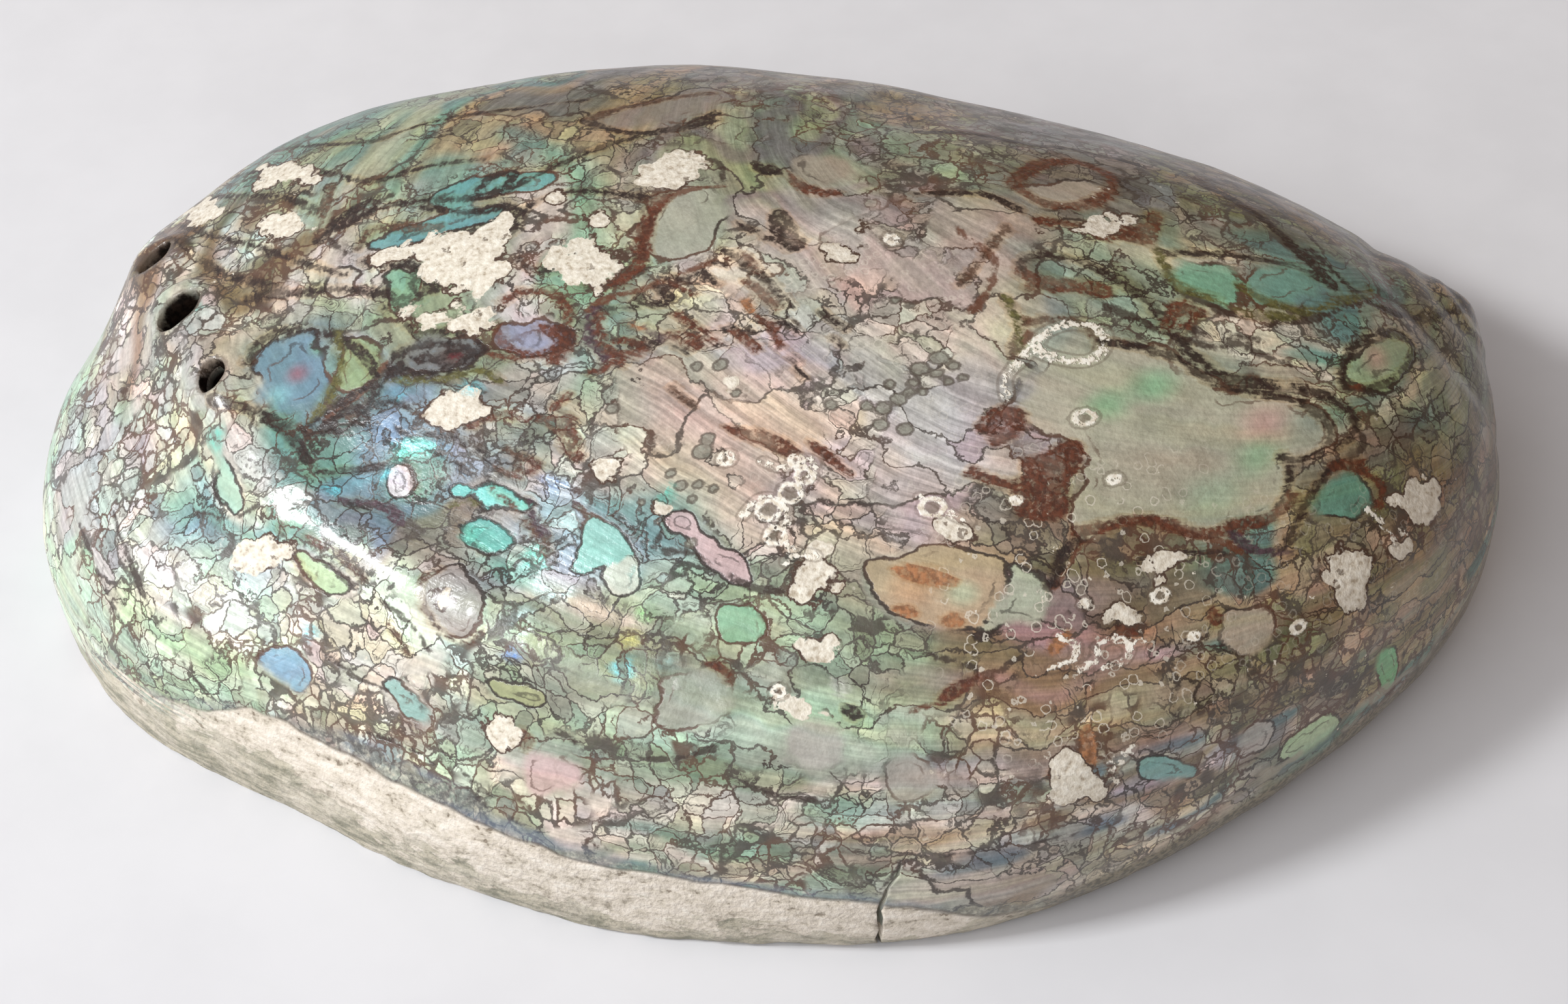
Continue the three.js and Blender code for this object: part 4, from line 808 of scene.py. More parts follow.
# The shell's broad zones: middle, reach, the tints that mingle in it (spread by noise),
# and how streaked, pebbled, veined and dotted it is.
ZONES = [
    ((-62, -14), (15, 30), ("mintpale", "mint", "pearl", "mintpale"), (0.65, 0.35, 0.55, 0)),      # left flank
    ((-42, 10), (14, 13), ("umber", "pearl", "umberdark", "silver"), (0.25, 0.8, 0.75, 0)),       # by the holes
    ((-26, 24), (20, 15), ("greygreen", "tealdark", "umber", "slate"), (0.6, 0.35, 0.6, 0)),      # back, left
    ((6, 15), (18, 11), ("umber", "greygreen", "slate", "olive"), (0.6, 0.3, 0.7, 0)),                 # back, middle
    ((36, 15), (26, 19), ("darkslate", "slate", "moss", "umberdark"), (0.4, 0.7, 0.8, 0)),         # about the spire
    ((-20, 0), (13, 11), ("sagepale", "seagreen", "lilac", "greygreen"), (0.5, 0.2, 0.5, 0)),           # left of the crown
    ((2, -4), (16, 9), ("silver", "pearlpink", "sagepale", "silver"), (0.6, 0.03, 0.28, 0.3)),         # crown
    ((0, -18), (17, 12), ("lilac", "pearlpink", "silver", "pearlpink"), (1.0, 0.02, 0.35, 0.25)),  # streaked middle
    ((-31, -16), (10, 12), ("slate", "blue", "teal", "silver"), (0.4, 0.5, 0.8, 0)),           # blue side
    ((-15, -28), (9, 7), ("aqua", "skyblue", "teal", "pearlpink"), (0.8, 0.1, 0.45, 0)),        # bright water-green fold
    ((-37, -36), (14, 13), ("mint", "mintpale", "silver", "skyblue"), (0.35, 0.7, 0.65, 0)),    # left shoulder
    ((-8, -47), (24, 14), ("mintsage", "greygreen", "silver", "seagreen"), (0.35, 0.42, 0.68, 0.05)),     # front
    ((25, -38), (15, 13), ("tan", "umber", "umberdark", "rose"), (0.35, 0.5, 0.65, 0.4)),            # right of the front
    ((34, -56), (20, 10), ("lilac", "umber", "silver", "bluegrey"), (0.4, 0.5, 0.65, 0.1)),     # right lip
    ((52, -32), (16, 18), ("umberdark", "moss", "umber", "deepteal"), (0.3, 0.62, 0.75, 0.25)),      # right flank
    ((33, -5), (18, 9), ("tealdark", "greygreen", "sagepale", "seagreen"), (0.55, 0.25, 0.65, 0.1)),  # right of the crown
]
CW = CH + 5.0 * np.stack([vnoise(PM, 0.075, 21), vnoise(PM, 0.075, 22)], -1) + 2.0 * np.stack([vnoise(PM, 0.3, 23), vnoise(PM, 0.3, 24)], -1)
drift = np.stack([GCO[:, 0], GCO[:, 1] * 0.42, np.zeros(N)], -1) + 2.5 * np.stack([vnoise(PM, 0.16, 25), vnoise(PM, 0.16, 26), np.zeros(N)], -1)
colB, marks, total = np.zeros((N, 3)), np.zeros((N, 4)), np.zeros(N)
for j, ((x, y), (rx, ry), tints, strength) in enumerate(ZONES):
    w = 1 / (((CW[:, 0] - x) / rx) ** 2 + ((CW[:, 1] - y) / ry) ** 2 + 0.15) ** 3.2
    pick = np.clip(0.5 + 1.15 * (vnoise(drift, 0.105, 30 + j) * 0.6 + vnoise(drift, 0.27, 50 + j) * 0.4), 0, 0.9999) * (len(tints) - 1)
    low, part = pick.astype(int), smooth((pick % 1 - 0.5) * 1.8 + 0.5)[:, None]
    table = np.array([lin(PALETTE[n]) for n in tints])
    total += w
    colB += w[:, None] * (table[low] * (1 - part) + table[np.minimum(low + 1, len(tints) - 1)] * part)
    marks += w[:, None] * np.array(strength)
colB /= total[:, None]
marks /= total[:, None]

deg = np.degrees(np.arctan2(CH[:, 1], CH[:, 0])) % 360
rc = np.hypot(*CH.T)
# t to chart radius: the widest line is 75.4, and the lip's own parameter runs on past it
def band_radius(table):
    g = np.array([x[0] for x in table] + [table[0][0] + 360.0])
    v = np.array([48 * x[1] if x[1] < HALF else 75.4 + 24 * (x[1] - HALF) for x in table] + [48 * table[0][1] if table[0][1] < HALF else 75.4 + 24 * (table[0][1] - HALF)])
    return np.interp(np.where(deg < g[0], deg + 360, deg), g, v)


band = np.where(outside, rc - band_radius(BAND_TOP), -20)
dark = np.where(outside, rc - band_radius(DARK_TOP), -20)


def put(name, values, kind="FLOAT"):
    at = me.attributes.new(name, kind, "POINT")
    if kind == "FLOAT":
        at.data.foreach_set("value", np.ascontiguousarray(values, np.float32))
    elif kind == "FLOAT_VECTOR":
        at.data.foreach_set("vector", np.ascontiguousarray(values, np.float32).ravel())
    else:
        v = np.concatenate([values, np.ones((len(values), 1))], 1)
        at.data.foreach_set("color", np.ascontiguousarray(v, np.float32).ravel())


# slow noises and the growth lines' broad bands, kept on the mesh points
def octaves(p, scale, seed, n=3):
    return 0.5 + 0.5 * sum(vnoise(p, scale * 2 ** i, seed + i) * 0.55 * 0.55 ** i for i in range(n))


for j, (name, scale, n) in enumerate((("slow", 0.13, 3), ("mid", 0.42, 2))):
    put(name, np.stack([octaves(PM, scale, 40 + 10 * j + 3 * q, n) for q in range(3)], -1), "FLOAT_VECTOR")
slow0 = octaves(PM, 0.42, 61, 2)
BANDS = np.stack([GCO[:, 0] + 2 * (slow0 - 0.5), GCO[:, 1] * 0.055, 3 * octaves(PM, 0.13, 71, 2)], -1)
put("bands", np.stack([octaves(BANDS, 0.32, 80 + 5 * q, 3) for q in range(3)], -1), "FLOAT_VECTOR")
put("rest_mm", PM, "FLOAT_VECTOR")
put("growth", GCO, "FLOAT_VECTOR")
put("chart", np.concatenate([CH, rc[:, None]], 1), "FLOAT_VECTOR")
put("mark", marks[:, :3], "FLOAT_VECTOR")
put("rim", np.stack([band, dark, np.where(outside, (deg - 180) / 180, 0)], -1), "FLOAT_VECTOR")
put("cut", np.stack([wall, np.clip(hole_rim, -3, 9), (~outside).astype(float)], -1), "FLOAT_VECTOR")
put("sd_a", np.stack([sdP, sdC, sdR], -1), "FLOAT_VECTOR")
put("sd_b", np.stack([sdG, sdD, sdO], -1), "FLOAT_VECTOR")
put("sd_c", np.stack([sdW, sdL, marks[:, 3]], -1), "FLOAT_VECTOR")
for n, c in (("col_base", colB), ("col_patch", colP), ("col_stain", colR), ("col_painted_glint", colG), ("col_vein", colL)):
    put(n, c, "FLOAT_COLOR")

# a map for baked copies: outside and inside as two discs, hole walls as strips
uv = me.uv_layers.new(name="OFBake")
nl = len(me.loops)
lv = np.empty(nl, int); me.loops.foreach_get("vertex_index", lv)
nf = len(me.polygons)
ls = np.empty(nf, int); me.polygons.foreach_get("loop_start", ls)
lt = np.empty(nf, int); me.polygons.foreach_get("loop_total", lt)
fid = np.repeat(np.arange(nf), lt)
inner_face = np.zeros(nf, bool)
np.logical_or.at(inner_face, fid, ~outside[lv])
phi = np.arctan2(CH[:, 1], CH[:, 0])
uo = 0.42 + CH / 84.0 * 0.41
ri = np.where(outside, 70.0, rc)
ui = 0.832 + np.stack([ri * np.cos(phi), ri * np.sin(phi)], -1) / 71.0 * 0.16
UV = np.where(inner_face[fid][:, None], ui[lv], uo[lv])
hid = hole_uv[lv, 0]
all_wall = np.ones(nf, bool)
np.logical_and.at(all_wall, fid, (hid > 0) & (hid == hid[ls][fid]))
first = hole_uv[lv[ls], 1][fid]
ang = (hole_uv[lv, 1] - first + math.pi) % TAU - math.pi + first
strip = np.stack([0.86 + ang / TAU * 0.1, 0.05 + (hid - 1) * 0.09 + (hole_uv[lv, 2] + 9) / 11 * 0.07], -1)
UV = np.where(all_wall[fid][:, None], strip, UV)
uv.data.foreach_set("uv", UV.astype(np.float32).ravel())
me.polygons.foreach_set("use_smooth", np.ones(nf, bool))
me.update()


# ------------------------------------------------------------------ materials
class Tree:
    def __init__(self, name):
        self.mat = bpy.data.materials.new(name)
        self.mat.use_nodes = True
        self.t = self.mat.node_tree
        self.t.nodes.clear()

    def node(self, kind, **kw):
        n = self.t.nodes.new(kind)
        for k, v in kw.items():
            setattr(n, k, v)
        return n

    def put(self, sock, v):
        if v is None:
            return
        if isinstance(v, bpy.types.NodeSocket):
            self.t.links.new(v, sock)
        elif hasattr(sock.default_value, "__len__"):
            n = len(sock.default_value)
            v = tuple(v) if hasattr(v, "__len__") else (v,) * 3
            sock.default_value = v + (1.0,) * (n - len(v))
        else:
            sock.default_value = v

    def m(self, op, a, b=None, c=None, clamp=False):
        n = self.node("ShaderNodeMath", operation=op, use_clamp=clamp)
        for s, v in zip(n.inputs, (a, b, c)):
            self.put(s, v)
        return n.outputs[0]

    def add(self, a, b): return self.m("ADD", a, b)
    def sub(self, a, b): return self.m("SUBTRACT", a, b)
    def mul(self, a, b): return self.m("MULTIPLY", a, b)
    def mx(self, a, b): return self.m("MAXIMUM", a, b)
    def mn(self, a, b): return self.m("MINIMUM", a, b)
    def inv(self, a): return self.m("SUBTRACT", 1.0, a, clamp=True)
    def absv(self, a): return self.m("ABSOLUTE", a)
    def mad(self, a, b, c): return self.m("MULTIPLY_ADD", a, b, c)

    def vm(self, op, a, b=None, scale=None):
        n = self.node("ShaderNodeVectorMath", operation=op)
        self.put(n.inputs[0], a)
        self.put(n.inputs[1], b)
        if scale is not None:
            self.put(n.inputs["Scale"], scale)
        return n.outputs[0]

    def mix(self, f, a, b, blend="MIX"):
        n = self.node("ShaderNodeMix", data_type="RGBA", blend_type=blend, clamp_factor=True)
        self.put(n.inputs[0], f); self.put(n.inputs[6], a); self.put(n.inputs[7], b)
        return n.outputs[2]

    def mixf(self, f, a, b):
        n = self.node("ShaderNodeMix", data_type="FLOAT", clamp_factor=True)
        self.put(n.inputs[0], f); self.put(n.inputs[2], a); self.put(n.inputs[3], b)
        return n.outputs[0]

    def step(self, x, lo, hi, a=0.0, b=1.0):
        n = self.node("ShaderNodeMapRange", interpolation_type="SMOOTHSTEP")
        for i, v in enumerate((x, lo, hi, a, b)):
            self.put(n.inputs[i], v)
        return n.outputs[0]

    def sep(self, v):
        n = self.node("ShaderNodeSeparateXYZ")
        self.put(n.inputs[0], v)
        return n.outputs

    def comb(self, x, y, z=0.0):
        n = self.node("ShaderNodeCombineXYZ")
        for s, v in zip(n.inputs, (x, y, z)):
            self.put(s, v)
        return n.outputs[0]

    def attr(self, name, out="Vector"):
        return self.node("ShaderNodeAttribute", attribute_name=name).outputs[out]

    def noise(self, vec, scale, detail=2.0, rough=0.5, dist=0.0, out=0, dim="3D"):
        n = self.node("ShaderNodeTexNoise", noise_dimensions=dim)
        self.put(n.inputs["Vector"], vec)
        for k, v in (("Scale", scale), ("Detail", detail), ("Roughness", rough), ("Distortion", dist)):
            self.put(n.inputs[k], v)
        return n.outputs[out]

    def vor(self, vec, scale, feature="F1", rand=1.0, dim="3D"):
        n = self.node("ShaderNodeTexVoronoi", feature=feature, voronoi_dimensions=dim)
        self.put(n.inputs["Vector"], vec)
        self.put(n.inputs["Scale"], scale)
        self.put(n.inputs["Randomness"], rand)
        return n.outputs

    def ramp(self, fac, stops, mode="LINEAR"):
        n = self.node("ShaderNodeValToRGB")
        n.color_ramp.interpolation = mode
        e = n.color_ramp.elements
        while len(e) < len(stops):
            e.new(0.5)
        for el, (p, c) in zip(e, stops):
            el.position = p
            el.color = (*c, 1)
        self.put(n.inputs[0], fac)
        return n.outputs[0]

    def warp(self, vec, *terms):     # terms: (noise colour, reach)
        for n, k in terms:
            off = self.vm("SUBTRACT", n, (0.5, 0.5, 0.5))
            vec = self.vm("ADD", vec, self.vm("SCALE", off, scale=k))
        return vec


T = Tree("worn_nacre")
P, G = T.attr("rest_mm"), T.attr("growth")
gx, gy, _ = T.sep(G)
streakM, pebM, veinM = T.sep(T.attr("mark"))
band_, dark_, side_ = T.sep(T.attr("rim"))
wall_, rimd_, inner_ = T.sep(T.attr("cut"))
dP, dC, dR = T.sep(T.attr("sd_a"))
dG, dD, dO = T.sep(T.attr("sd_b"))
dW, dL, dotM = T.sep(T.attr("sd_c"))

nA, nB = T.attr("slow"), T.attr("mid")
nC = T.noise(P, 1.7, 2.0, 0.6, out=1)
fA, fB, fC = T.sep(nA), T.sep(nB), T.sep(nC)
PW = T.warp(P, (nA, 7.0), (nB, 3.4), (nC, 0.9))
PS = T.warp(P, (nB, 2.2), (nC, 0.7))
GW = T.warp(G, (nA, 9.0), (nB, 4.5), (nC, 1.2))
wx, wy, _ = T.sep(GW)

# three sizes of cell: long ones that follow the growth lines, pebbles, grains
vecL = T.comb(T.mul(wx, 0.21), T.mul(wy, 0.085))
L1, LE = T.vor(vecL, 1.0, dim="2D"), T.vor(vecL, 1.0, "DISTANCE_TO_EDGE", dim="2D")
M1, ME = T.vor(PW, 0.36), T.vor(PW, 0.36, "DISTANCE_TO_EDGE")
S1, SE = T.vor(PS, 0.52, rand=0.85), T.vor(PS, 0.52, "DISTANCE_TO_EDGE", rand=0.85)
free = T.step(dP, -0.1, 0.5)                     # cells stay off the placed patches
gateS = T.mul(T.step(T.add(pebM, T.mul(T.sub(fA[0], 0.5), 1.6)), 0.60, 0.72), T.mixf(free, 0.15, 1.0))
gateM = T.mul(T.step(T.add(veinM, T.mul(T.sub(fA[1], 0.5), 2.0)), 0.36, 0.56), T.mixf(free, 0.1, 1.0))
gateL = T.mul(T.step(T.add(veinM, T.mul(T.sub(fA[2], 0.5), 1.2)), 0.10, 0.38), T.mixf(free, 0.0, 1.0))
widen = T.mixf(fB[0], 0.4, 1.5)
gap = T.mul(T.step(T.add(S1[0], T.mul(T.sub(fC[2], 0.5), 0.30)), 0.57, 0.63), T.step(fB[1], 0.44, 0.54))
lineS = T.mul(T.mx(T.step(T.m("DIVIDE", SE[0], widen), 0.090, 0.040), gap), gateS)
gapM = T.mul(T.step(T.add(M1[0], T.mul(T.sub(fC[1], 0.5), 0.24)), 0.74, 0.80), T.step(fB[2], 0.52, 0.60))
lineM = T.mul(T.mx(T.step(T.m("DIVIDE", ME[0], widen), 0.056, 0.022), gapM), gateM)
lineL = T.mul(T.step(T.m("DIVIDE", LE[0], widen), 0.040, 0.014), gateL)
# agate-like contours, in broken runs
cn = T.noise(PW, 0.17, 1.0)
cf = T.absv(T.sub(T.m("FRACT", T.mul(cn, 8.5)), 0.5))
lineN = T.mul(T.mul(T.step(cf, 0.055, 0.02), T.step(fB[1], 0.44, 0.54)), T.mul(gateM, T.inv(gateS)))
nestM = T.mul(T.mul(T.step(T.absv(T.sub(ME[0], 0.15)), 0.030, 0.010), gateM), T.mul(T.step(fB[2], 0.50, 0.57), 0.65))
cells = T.mx(T.mx(lineS, lineM), T.mx(T.mx(lineL, nestM), T.mul(lineN, 0.9)))

# tints
TINTS = [(0.00, (1.14, 0.91, 0.99)), (0.16, (1.00, 0.96, 1.08)), (0.32, (0.89, 0.99, 1.12)), (0.46, (0.81, 1.06, 1.06)), (0.60, (0.89, 1.10, 0.91)), (0.74, (1.09, 1.08, 0.81)), (0.86, (1.14, 1.00, 0.89)), (1.00, (1.18, 0.92, 0.95))]
tintL = T.ramp(T.m("FRACT", T.add(T.mul(T.sep(L1[1])[0], 0.9), T.mul(fA[0], 0.6))), TINTS)
tintM = T.ramp(T.sep(M1[1])[0], TINTS)
tintS = T.ramp(T.sep(S1[1])[1], TINTS)
sv = T.comb(T.add(gx, T.mul(T.sub(fA[0], 0.5), 1.2)), T.mul(gy, 0.045), 0.0)
s1 = T.noise(sv, 2.1, 2.0, 0.62, dim="2D")
s2c = T.sep(T.attr("bands"))
tintG = T.ramp(T.m("FRACT", T.mul(s2c[0], 2.4)), TINTS)
base = T.attr("col_base", "Color")
base = T.mix(T.mixf(gateL, 0.10, 0.34), base, tintL, "MULTIPLY")
base = T.mix(T.mul(gateM, 0.38), base, tintM, "MULTIPLY")
base = T.mix(T.mul(gateS, 0.33), base, tintS, "MULTIPLY")
base = T.mix(T.mixf(streakM, 0.30, 0.25), base, tintG, "MULTIPLY")
lumL = T.mixf(T.sep(L1[1])[1], 0.78, 1.18)
lumM = T.mixf(gateM, 1.0, T.mixf(T.sep(M1[1])[1], 0.74, 1.30))
lumS = T.mixf(gateS, 1.0, T.mixf(T.sep(S1[1])[0], 0.80, 1.42))
lumG = T.mixf(streakM, T.step(s1, 0.3, 0.7, 0.94, 1.07), T.step(s1, 0.34, 0.68, 0.76, 1.27))
lum = T.mul(T.mul(lumL, lumM), T.mul(lumS, lumG))
lum = T.mul(lum, T.step(fC[0], 0.2, 0.8, 0.84, 1.18))
base = T.vm("SCALE", base, scale=lum)

# placed patches with their streaks and brown outlines
rough_edge = T.add(T.mul(T.sub(fB[2], 0.5), 3.0), T.add(T.mul(T.sub(fC[1], 0.5), 0.6), T.mul(T.sub(s1, 0.5), 0.4)))
eP = T.add(dP, T.mul(rough_edge, 0.9))
patch = T.mix(0.2, T.attr("col_patch", "Color"), tintG, "MULTIPLY")
patch = T.vm("SCALE", patch, scale=T.mul(T.step(s1, 0.3, 0.7, 0.93, 1.06), T.step(fB[0], 0.3, 0.7, 0.93, 1.07)))
rimOn = T.step(fA[1], 0.36, 0.46)
inP = T.mixf(rimOn, T.step(eP, 0.7, -0.9), T.step(eP, 0.06, -0.06))
patch = T.vm("SCALE", patch, scale=T.step(fC[2], 0.25, 0.75, 0.90, 1.09))
col = T.mix(T.mul(inP, 0.86), base, patch)
edgeP = T.mul(T.step(T.absv(eP), 0.26, 0.09), rimOn)
nest = T.mul(T.step(T.absv(T.add(eP, 0.95)), 0.16, 0.05), T.step(fB[1], 0.50, 0.60))

brown = T.mix(T.step(fA[0], 0.42, 0.60), lin((44, 33, 28)), lin((84, 56, 41)))
grey = T.mix(T.step(fB[2], 0.42, 0.62), brown, lin((66, 57, 50)))
eL = T.step(T.add(dL, T.add(T.mul(T.sub(fC[0], 0.5), 0.6), T.mul(T.sub(fB[1], 0.5), 0.9))), 0.40, 0.12)
veins = T.mul(T.mul(eL, T.step(fB[0], 0.36, 0.46)), 0.85)
col = T.mix(T.mul(cells, T.mixf(fB[1], 0.75, 1.0)), col, grey)
col = T.mix(T.mx(T.mul(edgeP, 0.92), T.mul(nest, 0.6)), col, brown)
col = T.mix(veins, col, T.attr("col_vein", "Color"))

# small grey grains in the worn places
gn = T.vor(T.warp(P, (nC, 0.5)), 0.95)
few = T.mul(T.step(T.sep(gn[1])[2], 0.62, 0.66), T.step(dotM, 0.15, 0.5))
gr = T.mul(few, T.step(gn[0], 0.42, 0.36))
gre = T.mul(few, T.step(T.absv(T.sub(gn[0], 0.42)), 0.07, 0.03))
col = T.mix(T.mul(gr, 0.7), col, T.vm("SCALE", T.vm("MULTIPLY", col, (0.80, 0.80, 0.76)), scale=0.85))
col = T.mix(T.mul(gre, 0.8), col, lin((214, 206, 190)))
eD = T.add(T.add(dD, 0.10), T.mul(T.sub(fC[1], 0.5), 0.35))
col = T.mix(T.mul(T.step(eD, 0.05, -0.10), 0.85), col, T.mix(T.step(fC[2], 0.3, 0.7), lin((116, 112, 100)), lin((146, 146, 132))))
col = T.mix(T.mul(T.step(T.absv(eD), 0.17, 0.05), 0.75), col, lin((78, 68, 58)))

# rust and dark stains, ragged
jag = T.add(T.mul(T.sub(s1, 0.5), 1.6), T.add(T.mul(T.sub(fC[2], 0.5), 1.5), T.mul(T.sub(fB[0], 0.5), 1.4)))
eR = T.add(T.add(dR, T.mul(jag, 0.42)), 0.04)
st = T.attr("col_stain", "Color")
st = T.mix(T.step(fC[0], 0.35, 0.65), T.vm("SCALE", st, scale=0.55), T.vm("SCALE", st, scale=1.12))
col = T.mix(T.mul(T.step(eR, 0.42, 0.12), 0.42), col, T.vm("MULTIPLY", col, (0.95, 0.74, 0.52)))
col = T.mix(T.mul(T.step(eR, 0.12, -0.15), T.mul(T.step(fC[1], 0.34, 0.5, 0.5, 0.95), T.step(fB[2], 0.3, 0.55, 0.7, 1.0))), col, st)

# chalky cream where the nacre has not been reached
eC = T.add(dC, T.add(T.mul(T.sub(fB[1], 0.5), 3.4), T.add(T.mul(T.sub(fC[0], 0.5), 1.1), T.mul(T.sub(S1[0], 0.42), 1.5))))
flk = T.mul(T.step(T.noise(P, 0.75, 3.0, 0.6), 0.70, 0.73), T.step(T.add(dotM, pebM), 0.3, 0.9))
inC = T.mx(T.step(eC, 0.10, -0.10), flk)
mott = T.noise(P, 1.7, 2.0, 0.55)
cream = T.ramp(mott, [(0.24, lin((168, 154, 134))), (0.40, lin((204, 194, 176))), (0.58, lin((222, 214, 198))), (0.8, lin((236, 231, 218)))])
pv = T.vor(T.warp(P, (nC, 1.8)), 0.55)
pit = T.mul(T.step(T.sep(pv[1])[0], 0.55, 0.60), T.step(T.add(pv[0], T.mul(fC[1], 0.3)), 0.40, 0.30))
cream = T.mix(T.mul(T.step(T.add(mott, T.mul(fB[2], 0.5)), 0.60, 0.52), 0.35), cream, lin((158, 140, 116)))
cream = T.mix(T.mul(pit, 0.75), cream, lin((92, 74, 58)))
col = T.mix(T.mul(T.step(T.absv(T.sub(eC, 0.14)), 0.26, 0.08), T.step(fB[0], 0.38, 0.5)), col, lin((74, 54, 42)))
col = T.mix(T.mul(inC, 0.95), col, cream)

# white worm rings and their trails
eO = T.add(dO, T.mul(T.sub(fC[2], 0.5), 0.5))
ring_ = T.mul(T.step(T.absv(eO), 0.30, 0.12), T.step(fC[1], 0.34, 0.42))
trail = T.mul(T.step(T.add(dW, T.add(0.12, T.mul(T.sub(fC[1], 0.5), 1.3))), 0.10, -0.10), T.step(mott, 0.36, 0.46))
white = T.mx(ring_, trail)
col = T.mix(T.mul(T.step(eO, -0.20, -0.36), 0.7), col, lin((120, 108, 92)))
col = T.mix(T.mul(T.step(T.mn(T.absv(T.sub(eO, 0.42)), T.absv(T.sub(dW, 0.2))), 0.16, 0.05), 0.4), col, lin((88, 70, 56)))
col = T.mix(T.mul(white, 0.92), col, T.mix(T.step(mott, 0.35, 0.6), lin((214, 202, 182)), lin((240, 235, 222))))

# painted glints: white and coloured highlights painted into the base colour, where the light catches the layers edge on
eG = T.add(dG, T.mul(T.sub(s1, 0.5), 1.6))
painted_glint_mask = T.mul(T.mul(T.step(eG, 0.7, -0.5), T.inv(T.mul(cells, 0.8))), T.step(T.sep(M1[1])[2], 0.34, 0.40, 0.22, 1.0))
col = T.mix(T.mul(painted_glint_mask, T.mul(T.step(fC[0], 0.3, 0.65, 0.45, 0.95), T.step(s1, 0.36, 0.56, 0.45, 0.95))), col, T.attr("col_painted_glint", "Color"))

# the dark speckled band over the chalky rim, then the rim itself
wob = T.add(T.mul(T.sub(fA[1], 0.5), 2.2), T.mul(T.sub(fB[0], 0.5), 1.2))
bd, bc = T.add(dark_, wob), T.add(band_, T.mul(wob, 0.8))
onDark = T.mul(T.step(bd, 0.7, 2.3), T.step(side_, -0.02, 0.2))
dk = T.ramp(T.noise(P, 1.5, 3.0, 0.7), [(0.3, lin((58, 58, 56))), (0.48, lin((96, 100, 98))), (0.6, lin((150, 152, 142))), (0.72, lin((196, 190, 172)))])
col = T.mix(T.mul(onDark, 0.62), col, T.mix(T.mul(T.step(s2c[1], 0.45, 0.6), 0.5), dk, lin((96, 122, 150))))
cz = T.sep(T.attr("chart"))[2]
px, py, pz = T.sep(P)
turn = T.m("ARCTAN2", py, px)
rv = T.comb(T.mul(turn, 22.0), T.mul(T.add(cz, T.mul(T.sub(fA[0], 0.5), 5.0)), 0.85), 0.0)
strat = T.noise(rv, 0.75, 3.0, 0.62, dim="2D")
rimc = T.ramp(T.add(T.mul(strat, 0.65), T.mul(mott, 0.35)), [(0.34, lin((160, 149, 132))), (0.43, lin((202, 191, 174))), (0.56, lin((221, 210, 195))), (0.7, lin((232, 225, 212)))])
footAt = T.m("MINIMUM", T.mx(T.mad(side_, 26.0, 65.0), 70.5), 78.5)
foot = T.step(T.add(T.sub(cz, footAt), T.add(T.mul(T.sub(strat, 0.5), 12.0), T.add(T.mul(T.sub(fB[2], 0.5), 10.0), T.mul(T.sub(fA[1], 0.5), 9.0)))), -0.4, 0.9)
footc = T.mix(T.step(T.add(T.mul(strat, 0.7), T.mul(fC[1], 0.3)), 0.38, 0.62), lin((122, 119, 100)), lin((180, 171, 150)))
rimc = T.mix(T.mul(foot, T.step(fB[1], 0.3, 0.6, 0.55, 0.92)), rimc, footc)
rpit = T.mul(T.step(T.add(T.mul(fC[0], 0.6), T.mul(strat, 0.4)), 0.40, 0.34), T.step(band_, 6.0, 1.0))
rimc = T.mix(T.mul(rpit, 0.7), rimc, lin((112, 94, 76)))
onRim = T.step(bc, -0.25, 0.35)
leftLip = T.step(side_, 0.20, 0.12)          # towards the left the chalk thins to streaks
onRim = T.mul(onRim, T.mixf(leftLip, 1.0, T.step(T.add(s1, T.mul(T.sub(band_, 2.0), 0.05)), 0.42, 0.56)))
col = T.mix(T.mul(T.mul(T.step(T.absv(bc), 0.5, 0.15), 0.55), T.inv(leftLip)), col, lin((92, 78, 62)))
col = T.mix(T.mul(onRim, 0.93), col, rimc)
# front right lip: pale edge line, and painted shade on the tucked-under lip below it
fr = T.mul(T.step(side_, 0.62, 0.68), T.step(side_, 0.93, 0.86))
# painted shade: dark olive over the under-cut past the widest line
col = T.mix(T.mul(fr, T.step(cz, 75.6, 77.0)), col, T.mix(T.step(fC[0], 0.4, 0.6), lin((86, 80, 64)), lin((136, 126, 104))))
col = T.mix(T.mul(T.mul(fr, T.step(T.absv(T.sub(cz, T.add(74.8, T.mul(T.sub(fB[0], 0.5), 3.2)))), 0.9, 0.3)), T.step(fB[1], 0.42, 0.6, 0.15, 0.7)), col, lin((164, 156, 138)))

# cut walls and the hole rims
col = T.mix(T.mul(T.step(T.add(rimd_, T.mul(T.sub(fC[1], 0.5), 0.8)), 0.75, 0.35), 0.6), col, lin((92, 78, 64)))

# inside of the shell: pearly, with the rough muscle scar
ir = T.ramp(T.m("FRACT", T.add(T.mul(T.noise(P, 0.05, 3.0, 0.55, 1.2), 3.4), T.mul(fB[0], 0.25))), TINTS)
pin = T.mix(0.85, lin((196, 200, 194)), ir, "MULTIPLY")
pin = T.vm("SCALE", pin, scale=T.step(T.noise(P, 0.22, 4.0, 0.6), 0.3, 0.7, 0.82, 1.1))
ms = T.step(T.add(T.vm("DISTANCE", P, (6.0, 2.0, 34.0)), T.mul(T.sub(fB[1], 0.5), 9.0)), 17.0, 14.0)
pin = T.mix(T.mul(ms, 0.7), pin, T.ramp(T.noise(P, 0.6, 4.0, 0.65), [(0.35, lin((136, 132, 104))), (0.5, lin((186, 184, 160))), (0.65, lin((140, 176, 160)))]))
col = T.mix(T.mul(inner_, T.inv(onRim)), col, pin)
# painted shade: the hole walls and a thin ring just outside each hole edge are painted near black
hole_shade = T.mx(wall_, T.step(T.add(rimd_, T.mul(T.sub(fC[2], 0.5), 0.3)), 0.26, 0.02))
